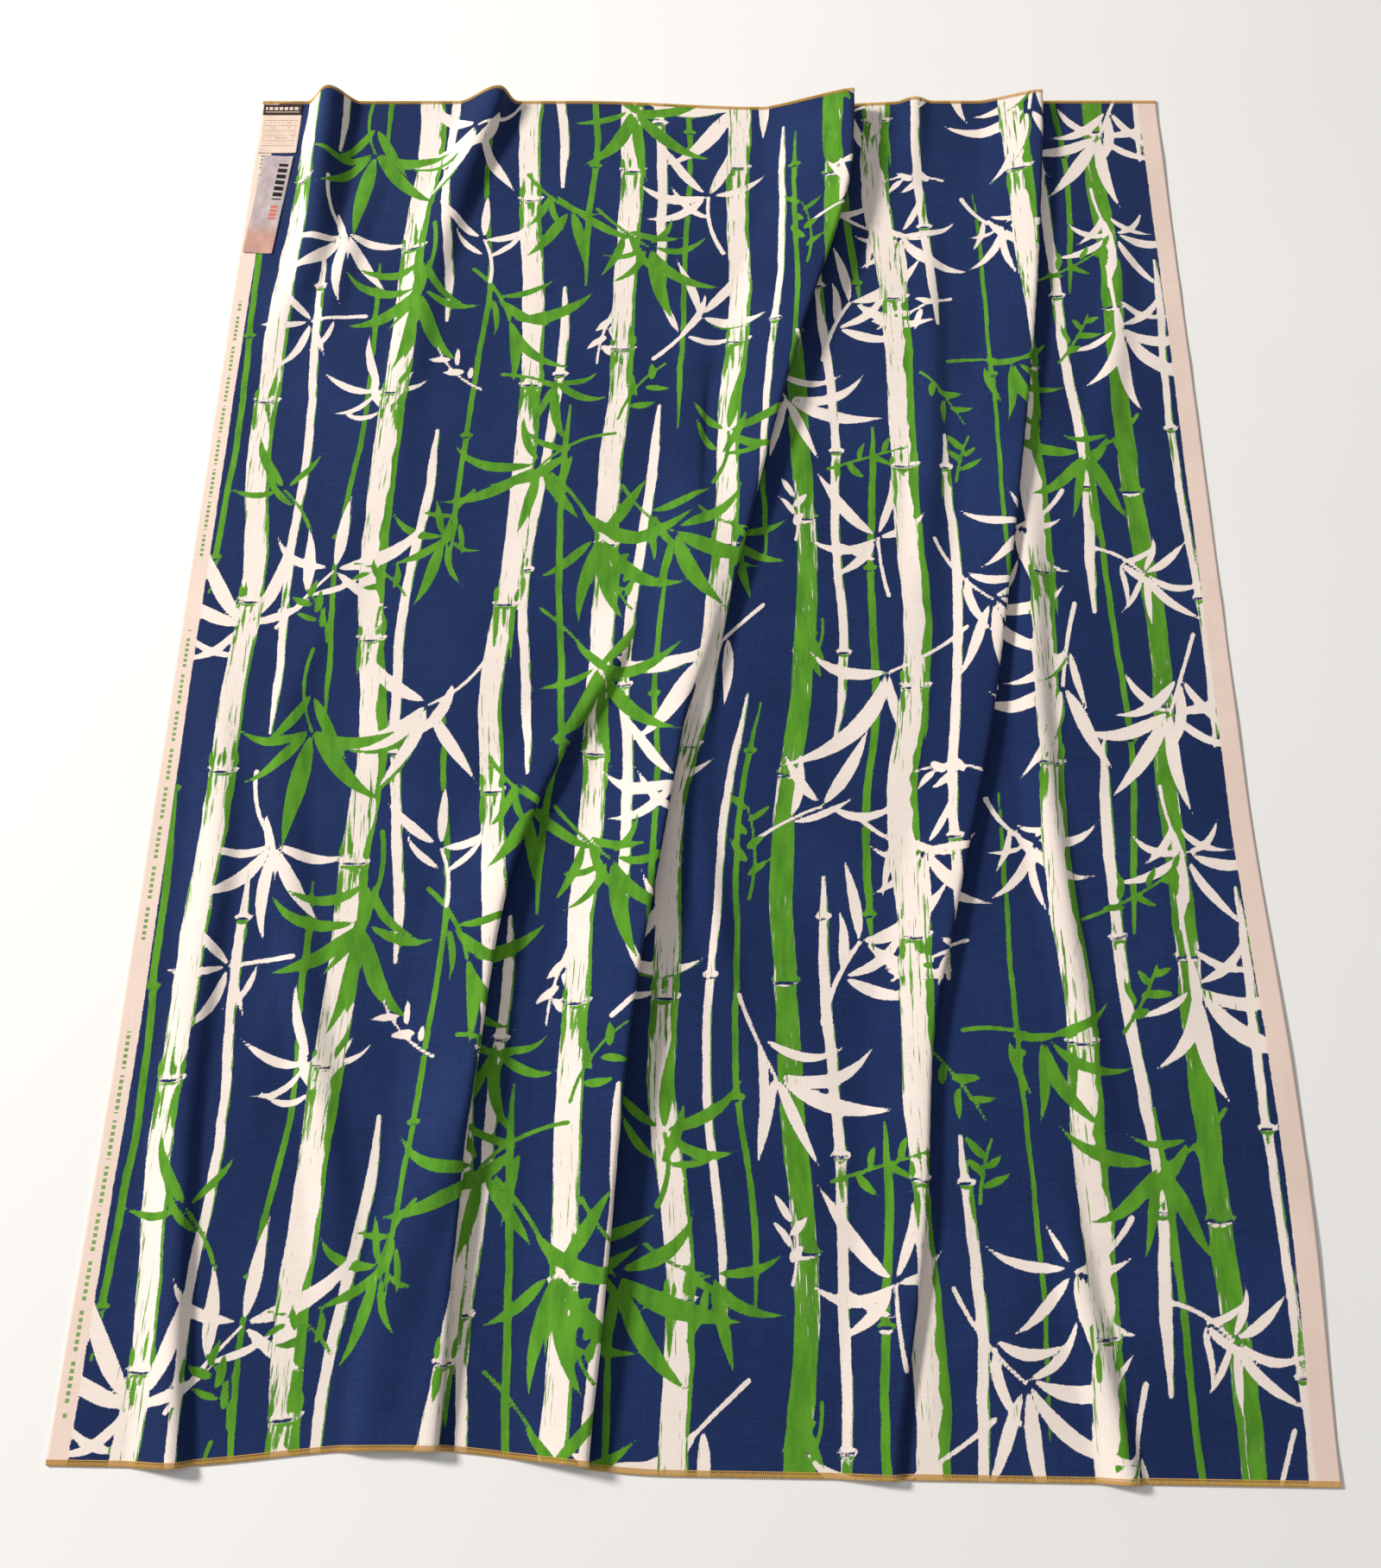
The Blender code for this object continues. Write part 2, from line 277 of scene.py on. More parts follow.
RIPPLES = (
    Ripple("ticket_hump", 0.070, 0.00, (
        (0.74, 0.065, 0.000), (0.80, 0.082, 0.006), (0.85, 0.100, 0.012),
        (0.92, 0.100, 0.022), (1.00, 0.100, 0.026))),
    Ripple("ticket_hump_tail", 0.052, 0.10, (
        (0.76, 0.115, 0.000), (0.82, 0.124, 0.006), (0.88, 0.141, 0.005), (0.94, 0.155, 0.000))),
    Ripple("far_left_hump", 0.078, 0.60, (
        (0.62, 0.208, 0.000), (0.75, 0.214, 0.005), (0.85, 0.232, 0.009),
        (0.93, 0.257, 0.016), (1.00, 0.286, 0.026))),
    Ripple("main_fold", 0.082, 2.40, (
        (0.34, 0.505, 0.000), (0.43, 0.509, 0.004), (0.50, 0.518, 0.010), (0.58, 0.538, 0.015),
        (0.67, 0.562, 0.019), (0.77, 0.592, 0.023), (0.86, 0.628, 0.026), (0.92, 0.646, 0.028),
        (1.00, 0.649, 0.029))),
    Ripple("far_middle_bump", 0.050, 0.20, (
        (0.90, 0.735, 0.000), (0.96, 0.742, 0.005), (1.00, 0.744, 0.008))),
    Ripple("right_fold", 0.066, 2.30, (
        (0.00, 0.660, 0.008), (0.06, 0.674, 0.010), (0.13, 0.690, 0.012), (0.20, 0.697, 0.012),
        (0.25, 0.702, 0.012), (0.31, 0.722, 0.013), (0.37, 0.742, 0.012), (0.45, 0.769, 0.012),
        (0.55, 0.793, 0.012), (0.65, 0.814, 0.013), (0.75, 0.834, 0.014), (0.85, 0.850, 0.015),
        (0.93, 0.859, 0.017), (1.00, 0.866, 0.018))),
    Ripple("right_soft_ripple", 0.056, 0.40, (
        (0.15, 0.852, 0.000), (0.21, 0.853, 0.004), (0.28, 0.841, 0.008), (0.38, 0.829, 0.010),
        (0.48, 0.825, 0.009), (0.57, 0.831, 0.007), (0.66, 0.838, 0.000))),
    Ripple("right_near_ripple", 0.050, 0.40, (
        (0.00, 0.850, 0.009), (0.06, 0.833, 0.009), (0.12, 0.820, 0.006), (0.18, 0.812, 0.000))),
    Ripple("right_edge_ripple", 0.060, 0.20, (
        (0.62, 0.912, 0.000), (0.70, 0.920, 0.004), (0.77, 0.938, 0.005),
        (0.84, 0.953, 0.004), (0.90, 0.957, 0.000))),
    Ripple("middle_right_ripple", 0.054, 0.30, (
        (0.53, 0.724, 0.000), (0.61, 0.733, 0.005), (0.72, 0.745, 0.006),
        (0.83, 0.749, 0.005), (0.90, 0.752, 0.000))),
    Ripple("long_fold", 0.078, 2.10, (
        (0.00, 0.421, 0.016), (0.06, 0.427, 0.018), (0.13, 0.431, 0.021), (0.20, 0.434, 0.024),
        (0.28, 0.443, 0.026), (0.36, 0.461, 0.025), (0.44, 0.480, 0.021), (0.51, 0.497, 0.018),
        (0.60, 0.503, 0.014), (0.70, 0.505, 0.008), (0.79, 0.506, 0.000))),
    Ripple("middle_left_fold", 0.082, 2.00, (
        (0.00, 0.306, 0.013), (0.08, 0.309, 0.015), (0.17, 0.311, 0.017), (0.25, 0.318, 0.020),
        (0.32, 0.327, 0.020), (0.38, 0.347, 0.017), (0.45, 0.391, 0.012), (0.51, 0.438, 0.008),
        (0.57, 0.473, 0.004), (0.62, 0.482, 0.000))),
    Ripple("second_crest", 0.046, 0.40, (
        (0.00, 0.256, 0.007), (0.06, 0.260, 0.009), (0.13, 0.270, 0.010),
        (0.20, 0.288, 0.007), (0.27, 0.302, 0.000))),
    Ripple("left_soft_ripple", 0.060, 0.20, (
        (0.07, 0.228, 0.000), (0.13, 0.222, 0.005), (0.19, 0.203, 0.007), (0.26, 0.176, 0.007),
        (0.34, 0.152, 0.006), (0.42, 0.137, 0.004), (0.50, 0.128, 0.000))),
    Ripple("left_edge_ripple", 0.066, 0.90, (
        (0.00, 0.112, 0.013), (0.06, 0.098, 0.013), (0.13, 0.090, 0.012), (0.20, 0.082, 0.010),
        (0.28, 0.081, 0.008), (0.36, 0.083, 0.007), (0.43, 0.072, 0.004), (0.50, 0.060, 0.000))),
    Ripple("middle_near_ripple", 0.050, 0.20, (
        (0.23, 0.556, 0.000), (0.29, 0.538, 0.005), (0.35, 0.522, 0.005), (0.41, 0.508, 0.000))),
)


def bump(share: np.ndarray, centre: float, width: float) -> np.ndarray:
    """A raised cosine, 1 at the centre and 0 half a width from it."""
    offset = np.clip((share - centre) / width, -0.5, 0.5)
    return np.cos(math.pi * offset) ** 2


def soft_step(value: np.ndarray, low: float, high: float) -> np.ndarray:
    """A smooth step from 0 at low to 1 at high."""
    share = np.clip((value - low) / (high - low), 0.0, 1.0)
    return share * share * (3.0 - 2.0 * share)


@dataclass
class Drape:
    """The laid shape of the cloth, as a fine grid of points on its back.

    The ripples keep the length of every crosswise thread in proportion, so a point's place on
    the flat cloth follows from the arc length of the section.
    """

    columns: int = 489
    rows: int = 541
    section_samples: int = 2400
    side_flare: float = 0.010
    near_hollow: float = 0.018
    far_hollow: float = 0.010
    end_lift: float = 0.0011
    end_reach: float = 0.040
    wrinkle: float = 0.0017
    creases: int = 70
    seed: int = 11
    points: np.ndarray = field(init=False)
    normals: np.ndarray = field(init=False)
    across: np.ndarray = field(init=False)
    along: np.ndarray = field(init=False)

    def __post_init__(self) -> None:
        """Lay the cloth out."""
        self.across = np.linspace(0.0, 1.0, self.columns)
        end = np.linspace(0.0, 0.012, 9)[:-1]
        middle = np.linspace(0.012, CLOTH_LENGTH - 0.012, self.rows - 2 * len(end))
        self.along = np.concatenate([end, middle, CLOTH_LENGTH - end[::-1]]) / CLOTH_LENGTH
        self.points = np.stack([self._row(share) for share in self.along])
        self.points[..., 2] += self._wrinkles()
        low, high = CAD_BOX
        centre_x = (self.points[..., 0].min() + self.points[..., 0].max()) / 2
        centre_y = (self.points[..., 1].min() + self.points[..., 1].max()) / 2
        self.points[..., 0] += (low[0] + high[0]) / 2 - centre_x
        self.points[..., 1] += (low[1] + high[1]) / 2 - centre_y
        self.normals = self._find_normals()

    @staticmethod
    def _smooth(ripple: Ripple, column: int, share: float) -> float:
        """A value of a ripple's line at a share along the cloth, with its corners rounded."""
        knots = [point[0] for point in ripple.line]
        values = [point[column] for point in ripple.line]
        window = np.linspace(-0.03, 0.03, 13)
        return float(np.mean(np.interp(share + window, knots, values)))

    def _row(self, share: float) -> np.ndarray:
        """One crosswise thread, as points at equal distances along it."""
        flare = self.side_flare * float(bump(share, 0.18, 0.5))
        left = 0.5 * self.side_flare * (1.0 - float(bump(share, 0.0, 0.5)))
        across = np.linspace(left, LAID_WIDTH + flare, self.section_samples)
        x, z = across.copy(), np.zeros_like(across)
        for ripple in RIPPLES:
            height = self._smooth(ripple, 2, share)
            if height < 0.0002:
                continue
            steep_side = LAID_WIDTH * self._smooth(ripple, 1, share)
            centre = steep_side - ripple.width / 4 - ripple.lean * height / 2
            rise = height * bump(across, centre, ripple.width)
            z += rise
            x += ripple.lean * rise
        arc = np.concatenate([[0.0], np.cumsum(np.hypot(np.diff(x), np.diff(z)))])
        stops = self.across * arc[-1]
        place = np.interp(stops, arc, np.linspace(0.0, 1.0, self.section_samples))
        near = self.near_hollow * bump(place, 0.28, 0.42) * (1.0 - share) ** 3
        far = self.far_hollow * bump(place, 0.56, 0.40) * share ** 3
        y = share * CLOTH_LENGTH + near - far
        edge = min(share, 1.0 - share) * CLOTH_LENGTH
        lift = self.end_lift * (1.0 - float(soft_step(edge, 0.0, self.end_reach)))
        return np.stack([np.interp(stops, arc, x), y, np.interp(stops, arc, z) + lift], axis=1)

    def _wrinkles(self) -> np.ndarray:
        """Small soft creases, all of them upwards so that the back never sinks into the floor."""
        maker = np.random.default_rng(self.seed)
        across, along = np.meshgrid(self.across * CLOTH_FLAT_WIDTH, self.along * CLOTH_LENGTH)
        total = np.zeros_like(across)
        for _ in range(self.creases):
            turn = math.radians(maker.normal(90.0, 24.0))
            step = maker.uniform(0.030, 0.085)
            x0, y0 = maker.uniform(0.08, CLOTH_FLAT_WIDTH), maker.uniform(0.0, CLOTH_LENGTH)
            reach = maker.uniform(0.08, 0.28)
            run = (across - x0) * math.cos(turn) + (along - y0) * math.sin(turn)
            side = -(across - x0) * math.sin(turn) + (along - y0) * math.cos(turn)
            bend = side + 0.25 * run * run / reach
            ridge = np.exp(-(run / reach) ** 2 - (bend / step * 2.2) ** 2)
            total += maker.uniform(0.3, 1.0) * ridge
        calm = soft_step(across, 0.070, 0.130)
        edge = np.minimum(along, CLOTH_LENGTH - along)
        return self.wrinkle * total * calm * soft_step(edge, 0.0, 0.05)

    def _find_normals(self) -> np.ndarray:
        """The grid's unit normals, pointing out of the printed face."""
        crosswise = np.gradient(self.points, axis=1)
        lengthwise = np.gradient(self.points, axis=0)
        normals = np.cross(crosswise, lengthwise)
        return normals / np.linalg.norm(normals, axis=2, keepdims=True)

    def lifted(self, offset: float) -> np.ndarray:
        """The grid moved out along its normals."""
        return self.points + offset * self.normals

    def at(self, across: np.ndarray, along: np.ndarray, offset: float) -> np.ndarray:
        """Points over the cloth, by their place on it when flat.

        Args:
            across: Distances from the left selvedge, in metres.
            along: Distances from the near end, in metres.
            offset: How far above the back, along the normal.

        Returns:
            The points, one row each.
        """
        grid = self.lifted(offset)
        column = np.clip(across / CLOTH_FLAT_WIDTH, 0.0, 1.0) * (self.columns - 1)
        row = np.interp(along / CLOTH_LENGTH, self.along, np.arange(self.rows))
        c0 = np.minimum(column.astype(int), self.columns - 2)
        r0 = np.minimum(row.astype(int), self.rows - 2)
        fc, fr = (column - c0)[:, None], (row - r0)[:, None]
        near = grid[r0, c0] * (1 - fc) + grid[r0, c0 + 1] * fc
        far = grid[r0 + 1, c0] * (1 - fc) + grid[r0 + 1, c0 + 1] * fc
        return near * (1 - fr) + far * fr


# ---- the print ---------------------------------------------------------------------------------
def direction(angle: float) -> np.ndarray:
    """A unit step, by its angle in radians from straight across the cloth."""
    return np.array([math.cos(angle), math.sin(angle)])


class Ink(Enum):
    """What a stroke leaves on the cloth. White is the cloth left bare."""

    WHITE = "white"
    GREEN = "green"
    NAVY = "navy"


class Form(Enum):
    """How wide a stroke is along its length."""

    LEAF = "leaf"
    PETAL = "petal"
    TWIG = "twig"

    def profile(self, share: np.ndarray) -> np.ndarray:
        """The stroke's width at a share of its length, 1 at its widest."""
        share = np.clip(share, 0.0, 1.0)
        if self is Form.LEAF:
            return share ** 0.8 * (1.0 - share) ** 1.25 / 0.254
        if self is Form.PETAL:
            return np.sin(math.pi * share) ** 0.55
        return 1.0 - 0.3 * share


@dataclass
class Artboard:
    """The inks of the print on the flat cloth, as distances inside their edges, in millimetres."""

    across: np.ndarray
    along: np.ndarray
    reach: float = 9.0
    white: np.ndarray = field(init=False)
    green: np.ndarray = field(init=False)
    streak: np.ndarray = field(init=False)

    def __post_init__(self) -> None:
        """Start with a plain navy ground."""
        shape = (len(self.along), len(self.across))
        self.white = np.full(shape, -self.reach)
        self.green = np.full(shape, -self.reach)
        self.streak = np.zeros(shape)

    def window(self, low: np.ndarray, high: np.ndarray) -> tuple[slice, slice]:
        """The rows and columns of the grid inside a box."""
        return (slice(*np.searchsorted(self.along, (low[1], high[1]))),
                slice(*np.searchsorted(self.across, (low[0], high[0]))))

    def lay(self, ink: Ink, place: tuple[slice, slice], inside: np.ndarray) -> None:
        """Lay an ink over a window, given the distance inside the stroke's edge."""
        white, green = self.white[place], self.green[place]
        if ink is Ink.GREEN:
            np.maximum(green, inside, out=green)
        else:
            np.minimum(green, -inside, out=green)
            over = np.maximum(white, inside) if ink is Ink.WHITE else np.minimum(white, -inside)
            white[...] = over

    def stroke(self, ink: Ink, form: Form, start: Sequence[float], end: Sequence[float],
               width: float, bend: float = 0.0) -> None:
        """Paint one brush stroke.

        Args:
            ink: The ink.
            form: How its width runs.
            start: Where it starts, in millimetres on the flat cloth.
            end: Where it ends.
            width: Its largest width.
            bend: How far it bows to its left, as a share of its length.
        """
        start, end = np.asarray(start, float), np.asarray(end, float)
        run = end - start
        side = np.array([-run[1], run[0]])
        turn = 0.71 * start[0] + 7.3 * width
        sway, lop = (0.05 * math.sin(turn), 0.28 * math.cos(turn)) if form is Form.LEAF else (0, 0)
        first = start + run / 3 + (1.33 * bend + sway) * side
        second = start + 2 * run / 3 + (1.33 * bend - sway) * side
        t = np.linspace(0.0, 1.0, 22)[:, None]
        spine = ((1 - t) ** 3 * start + 3 * t * (1 - t) ** 2 * first
                 + 3 * t * t * (1 - t) * second + t ** 3 * end)
        margin = width / 2 + 4.0
        place = self.window(spine.min(0) - margin, spine.max(0) + margin)
        x, y = np.meshgrid(self.across[place[1]], self.along[place[0]])
        if x.size == 0:
            return
        inside = np.full(x.shape, -self.reach)
        for k in range(len(spine) - 1):
            piece = spine[k + 1] - spine[k]
            dx, dy = x - spine[k, 0], y - spine[k, 1]
            part = np.clip((dx * piece[0] + dy * piece[1]) / max(piece @ piece, 1e-9), 0.0, 1.0)
            away = np.hypot(dx - part * piece[0], dy - part * piece[1])
            leans = 1.0 + lop * np.sign(piece[0] * dy - piece[1] * dx)
            half = width / 2 * form.profile((k + part) / (len(spine) - 1)) * leans
            inside = np.maximum(inside, half - away)
        self.lay(ink, place, inside)


@dataclass(frozen=True)
class CaneKind:
    """How one kind of cane is drawn.

    widths and joints are ranges in millimetres: how wide the cane is, and how far apart its nodes
    lie. edge is how much green runs down its right-hand side, and streaks is how much dry brush
    it shows. gap is how much of each repeat it leaves out.
    """

    ink: Ink
    widths: tuple[float, float]
    joints: tuple[float, float]
    edge: float = 0.0
    streaks: float = 0.0
    gap: float = 0.0


class Grove(Enum):
    """The kinds of cane in the grove."""

    STOUT = CaneKind(Ink.WHITE, (24.0, 32.0), (230.0, 330.0), 2.8, 0.5)
    TWO_TONE = CaneKind(Ink.WHITE, (28.0, 35.0), (220.0, 300.0), 9.5, 0.55)
    SOLID = CaneKind(Ink.GREEN, (22.0, 26.0), (230.0, 330.0), 0.0, -0.3)
    SLIM = CaneKind(Ink.WHITE, (8.0, 13.0), (260.0, 420.0), 1.2, 0.12, 150.0)
    RUNNER = CaneKind(Ink.GREEN, (4.5, 8.5), (300.0, 500.0), 0.0, 0.0, 170.0)


BOARD_LENGTH = CLOTH_LENGTH / MILLIMETRE
REPEAT = 785.0
REPEATS = range(-1, 3)


@dataclass(frozen=True)
class Cane:
    """A cane of the grove, the same in every repeat, in millimetres on the flat cloth."""

    kind: CaneKind
    across: float
    width: float
    sway: tuple[tuple[float, float], ...]
    nodes: tuple[float, ...]
    gap_at: float

    def centre(self, along: np.ndarray) -> np.ndarray:
        """How far the cane's middle lies from the left selvedge at places along the cloth."""
        turns = 2.0 * math.pi * along / REPEAT
        return self.across + sum(reach * np.sin((k + 1) * turns + start)
                                 for k, (reach, start) in enumerate(self.sway))

    def inside_ends(self, along: np.ndarray) -> np.ndarray:
        """How far a place lies from the nearer end of the cane's run, negative in its gap."""
        if not self.kind.gap:
            return np.full(along.shape, BOARD_LENGTH)
        away = np.abs((along - self.gap_at + REPEAT / 2) % REPEAT - REPEAT / 2)
        return away - self.kind.gap / 2


@dataclass
class BambooPrint:
    """A grove of canes and leaves, in white and green on navy, screened down the cloth.

    The grove is grown from a seed. Stout canes stand in lanes with slim ones between them, and
    the leaves are set where the room between the earlier ones is widest.
    """

    drape: Drape
    left_selvedge: float = LEFT_SELVEDGE / MILLIMETRE
    right_selvedge: float = RIGHT_SELVEDGE / MILLIMETRE
    sprays: int = 40
    sprigs: int = 16
    tries: int = 14
    white_share: float = 0.55
    hanging_share: float = 0.72
    shaded_share: float = 0.4
    broad_leaf: float = 12.0
    wobble: float = 0.9
    swell: float = 2.6
    seed: int = 5
    board: Artboard = field(init=False)

    def __post_init__(self) -> None:
        """Draw the whole print."""
        self.maker = np.random.default_rng(self.seed)
        self.board = Artboard(self.drape.across * CLOTH_FLAT_WIDTH / MILLIMETRE,
                              self.drape.along * BOARD_LENGTH)
        for cane in self._grow():
            self._cane(cane)
        self._leaves()
        self._selvedges()

    def _between(self, low: float, high: float) -> float:
        """A random number between two others."""
        return float(self.maker.uniform(low, high))

    def _grow(self) -> list[Cane]:
        """Every cane, the slim ones first so that the stout ones stand before them."""
        left = self.left_selvedge
        stout = [Grove.STOUT] * 4 + [Grove.TWO_TONE] * 3 + [Grove.SOLID] * 2
        lane = (CLOTH_FLAT_WIDTH / MILLIMETRE - self.right_selvedge - left) / len(stout)
        self.maker.shuffle(stout)
        slim_canes, stout_canes = [], []
        for number, kind in enumerate(stout):
            middle = left + (number + 0.5) * lane + self._between(-0.16, 0.16) * lane
            stout_canes.append(self._sprout(kind.value, middle))
            for side, slim in ((-0.36, Grove.RUNNER), (0.36, Grove.SLIM)):
                place = middle + (side + self._between(-0.12, 0.12)) * lane
                slim_canes.append(self._sprout(slim.value, place))
        return slim_canes + stout_canes

    def _sprout(self, kind: CaneKind, across: float) -> Cane:
        """A cane of one kind at a place across the cloth."""
        count = max(1, round(REPEAT / self._between(*kind.joints)))
        first = self._between(0.0, 1.0)
        nodes = tuple((first + k + self._between(-0.12, 0.12)) * REPEAT / count
                      for k in range(count))
        sway = tuple((self._between(0.3, 1.0) * reach, self._between(0.0, 2.0 * math.pi))
                     for reach in (9.0, 3.5, 1.8))
        return Cane(kind, across, self._between(*kind.widths), sway, nodes,
                    self._between(0.0, REPEAT))

    def _rough(self, spacing: float) -> np.ndarray:
        """A smooth random line along the board, about -1 to 1."""
        knots = np.arange(0.0, BOARD_LENGTH + 3 * spacing, spacing)
        return np.interp(self.board.along, knots, self.maker.uniform(-1.0, 1.0, len(knots)))

    def _cane(self, cane: Cane) -> None:
        """Paint a cane with its nodes, its green edge and its dry brush."""
        board, kind = self.board, cane.kind
        centre = cane.centre(board.along) + self.wobble * self._rough(23.0)
        width = cane.width * (1.0 + 0.05 * self._rough(31.0)) + 0.5 * self._rough(9.0)
        ends = cane.inside_ends(board.along)
        width = width * np.clip(0.35 + ends / 90.0, 0.35, 1.0)
        nodes = [node + turn * REPEAT for node in cane.nodes for turn in REPEATS]
        nodes = [node for node in nodes if cane.inside_ends(np.array([node]))[0] > 25.0]
        for node in nodes:
            away = (board.along - node) / 8.0
            width += 0.5 * self.swell * np.sqrt(cane.width / 10.0) * np.exp(-away * away)
            width -= 0.05 * width * np.exp(-((board.along - node) / 34.0) ** 2)
        place = board.window(np.array([centre.min() - 40.0, -1.0]),
                             np.array([centre.max() + 40.0, BOARD_LENGTH + 1.0]))
        offset = board.across[place[1]][None, :] - centre[place[0]][:, None]
        half = width[place[0]][:, None] / 2
        ends = ends[place[0]][:, None]
        inside = np.minimum(half - np.abs(offset), ends)
        board.lay(kind.ink, place, inside)
        if kind.streaks:
            rim = 0.45 + 0.55 * np.clip(np.abs(offset) / half, 0.0, 1.0) ** 2
            patch = 0.70 + 0.45 * self._rough(70.0)[place[0]][:, None]
            for node in nodes:
                away = (board.along[place[0]][:, None] - node + 12.0) / 46.0
                patch = patch + 0.7 * np.exp(-away * away)
            streak = board.streak[place]
            streak[...] = np.where(inside > -1.5, kind.streaks * rim * patch, streak)
        if kind.edge:
            strip = kind.edge * (0.75 + 0.5 * self._rough(60.0) + 0.2 * self._rough(12.0))
            start = half - np.minimum(strip, 0.62 * width)[place[0]][:, None]
            side = np.minimum(offset - start, half + 0.8 - offset)
            board.lay(Ink.GREEN, place, np.minimum(side, ends))
        for node in nodes:
            self._node(kind, node, float(np.interp(node, board.along, centre)),
                       float(np.interp(node, board.along, width)))

    def _node(self, kind: CaneKind, along: float, across: float, width: float) -> None:
        """Paint the ring where two joints of a cane meet, with its brush marks."""
        board, half = self.board, width / 2
        if not -20.0 < along < BOARD_LENGTH + 20.0:
            return
        if width < 9.0:
            board.stroke(kind.ink, Form.PETAL, (across - half - 3.5, along + 2.0),
                         (across + half + 3.5, along + 2.5), 8.0, -0.05)
            board.stroke(Ink.NAVY, Form.LEAF, (across - half, along - 1.0),
                         (across + half + 1.0, along), 2.6, -0.1)
            return
        other = Ink.GREEN if kind.ink is Ink.WHITE else Ink.WHITE
        ring = ((across - half - 3.0, along + 3.0), (across + half + 4.0, along + 4.0))
        board.stroke(kind.ink, Form.PETAL, *ring, 9.0, -0.1)
        board.stroke(other, Form.LEAF, (ring[0][0] + 1.5, along - 1.0),
                     (ring[1][0] - 1.0, along + 0.5), 4.4, -0.13)
        board.stroke(Ink.NAVY, Form.LEAF, (ring[0][0] + 1.0, along + 2.0),
                     (ring[1][0], along + 3.5), 3.2, -0.13)
        if kind.ink is Ink.WHITE and kind.streaks > 0.2:
            for side, reach in ((-1.0, 62.0), (1.0, 74.0), (-1.0, -24.0), (1.0, -30.0)):
                rim = across + side * (half - 2.2)
                reach = reach * self.maker.uniform(0.6, 1.1)
                board.stroke(Ink.GREEN, Form.LEAF, (rim, along - math.copysign(3.0, reach)),
                             (rim + 0.4 * side, along - reach), 5.5, -0.02 * side)
        for _ in range(int(width / 5.0)):
            foot = across + self.maker.uniform(-0.38, 0.42) * width
            side = self.maker.choice((-1.0, -1.0, 1.0))
            reach = side * self.maker.uniform(14.0, 58.0)
            board.stroke(other if kind.ink is Ink.WHITE else kind.ink, Form.LEAF,
                         (foot, along + 3.0 * side),
                         (foot + self.maker.uniform(-1.5, 1.5), along + reach),
                         self.maker.uniform(2.6, 4.2), self.maker.uniform(-0.02, 0.02))

    def _spread(self, count: int) -> np.ndarray:
        """Places in one repeat, each the roomiest of a few tries, clear of the selvedges."""
        low, high = self.left_selvedge + 40.0, CLOTH_FLAT_WIDTH / MILLIMETRE - 62.0
        places = [(self._between(low, high), self._between(0.0, REPEAT))]
        while len(places) < count:
            tried = np.column_stack((self.maker.uniform(low, high, self.tries),
                                     self.maker.uniform(0.0, REPEAT, self.tries)))
            apart = tried[:, None, :] - np.array(places)[None, :, :]
            apart[..., 1] = (apart[..., 1] + REPEAT / 2) % REPEAT - REPEAT / 2
            room = np.hypot(apart[..., 0], apart[..., 1]).min(1)
            places.append(tuple(tried[room.argmax()]))
        return np.array(places)

    def _leaves(self) -> None:
        """Set the sprays of long leaves and the small sprigs over the canes."""
        places = self._spread(self.sprays + self.sprigs)
        for number, heart in enumerate(places):
            if number >= self.sprays:
                self._sprig(Ink.GREEN if number % 3 else Ink.WHITE, heart)
                continue
            ink = Ink.WHITE if self.maker.random() < self.white_share else Ink.GREEN
            hangs = self.maker.random() < self.hanging_share
            middle, swing = (-90.0, 65.0) if hangs else (90.0, 50.0)
            heading = math.radians(middle + self._between(-swing, swing))
            self._spray(ink, heart, heading, self._between(85.0, 140.0))

    def _spray(self, ink: Ink, heart: np.ndarray, heading: float, reach: float) -> None:
        """Paint a twig with a fan of leaves at its tip and a few on its way.

        Args:
            ink: The ink.
            heart: Where the fan's leaves meet.
            heading: The way that the fan points, in radians.
            reach: The length of its longest leaf.
        """
        back = heading + math.pi + self._between(-0.6, 0.6)
        foot = heart + 0.75 * reach * direction(back)
        self._print(ink, Form.TWIG, foot, heart, self._between(4.0, 5.6), self._between(-0.1, 0.1))
        fans = ((int(self.maker.integers(3, 7)), heart, 1.0),
                (int(self.maker.integers(1, 4)), heart + 0.45 * (foot - heart), 0.75))
        for count, root, share in fans:
            spread = self._between(0.28, 0.36) * count
            for turn in np.linspace(-spread, spread, count) if count > 1 else (spread,):
                angle = heading + turn + self._between(-0.14, 0.14)
                length = share * reach * (1.0 - 0.22 * abs(turn)) * self._between(0.78, 1.1)
                way = direction(angle)
                start = root + self._between(2.0, 9.0) * way
                droop = -0.15 * math.cos(angle) + self._between(-0.07, 0.07)
                self._print(ink, Form.LEAF, start, start + length * way,
                            length * self._between(0.115, 0.165), droop)

    def _sprig(self, ink: Ink, heart: np.ndarray) -> None:
        """Paint a fine twig with small leaves on both its sides."""
        heading = self._between(0.0, 2.0 * math.pi)
        way = direction(heading)
        length = self._between(60.0, 110.0)
        self._print(ink, Form.TWIG, heart, heart + length * way, 3.6, self._between(-0.12, 0.12))
        for number in range(int(self.maker.integers(4, 7))):
            root = heart + length * (0.25 + 0.15 * number) * way
            angle = heading + (0.8 if number % 2 else -0.8) + self._between(-0.25, 0.25)
            reach = self._between(18.0, 34.0)
            tip = root + reach * direction(angle)
            self._print(ink, Form.LEAF, root, tip, self._between(6.0, 9.5),
                        self._between(-0.1, 0.1))

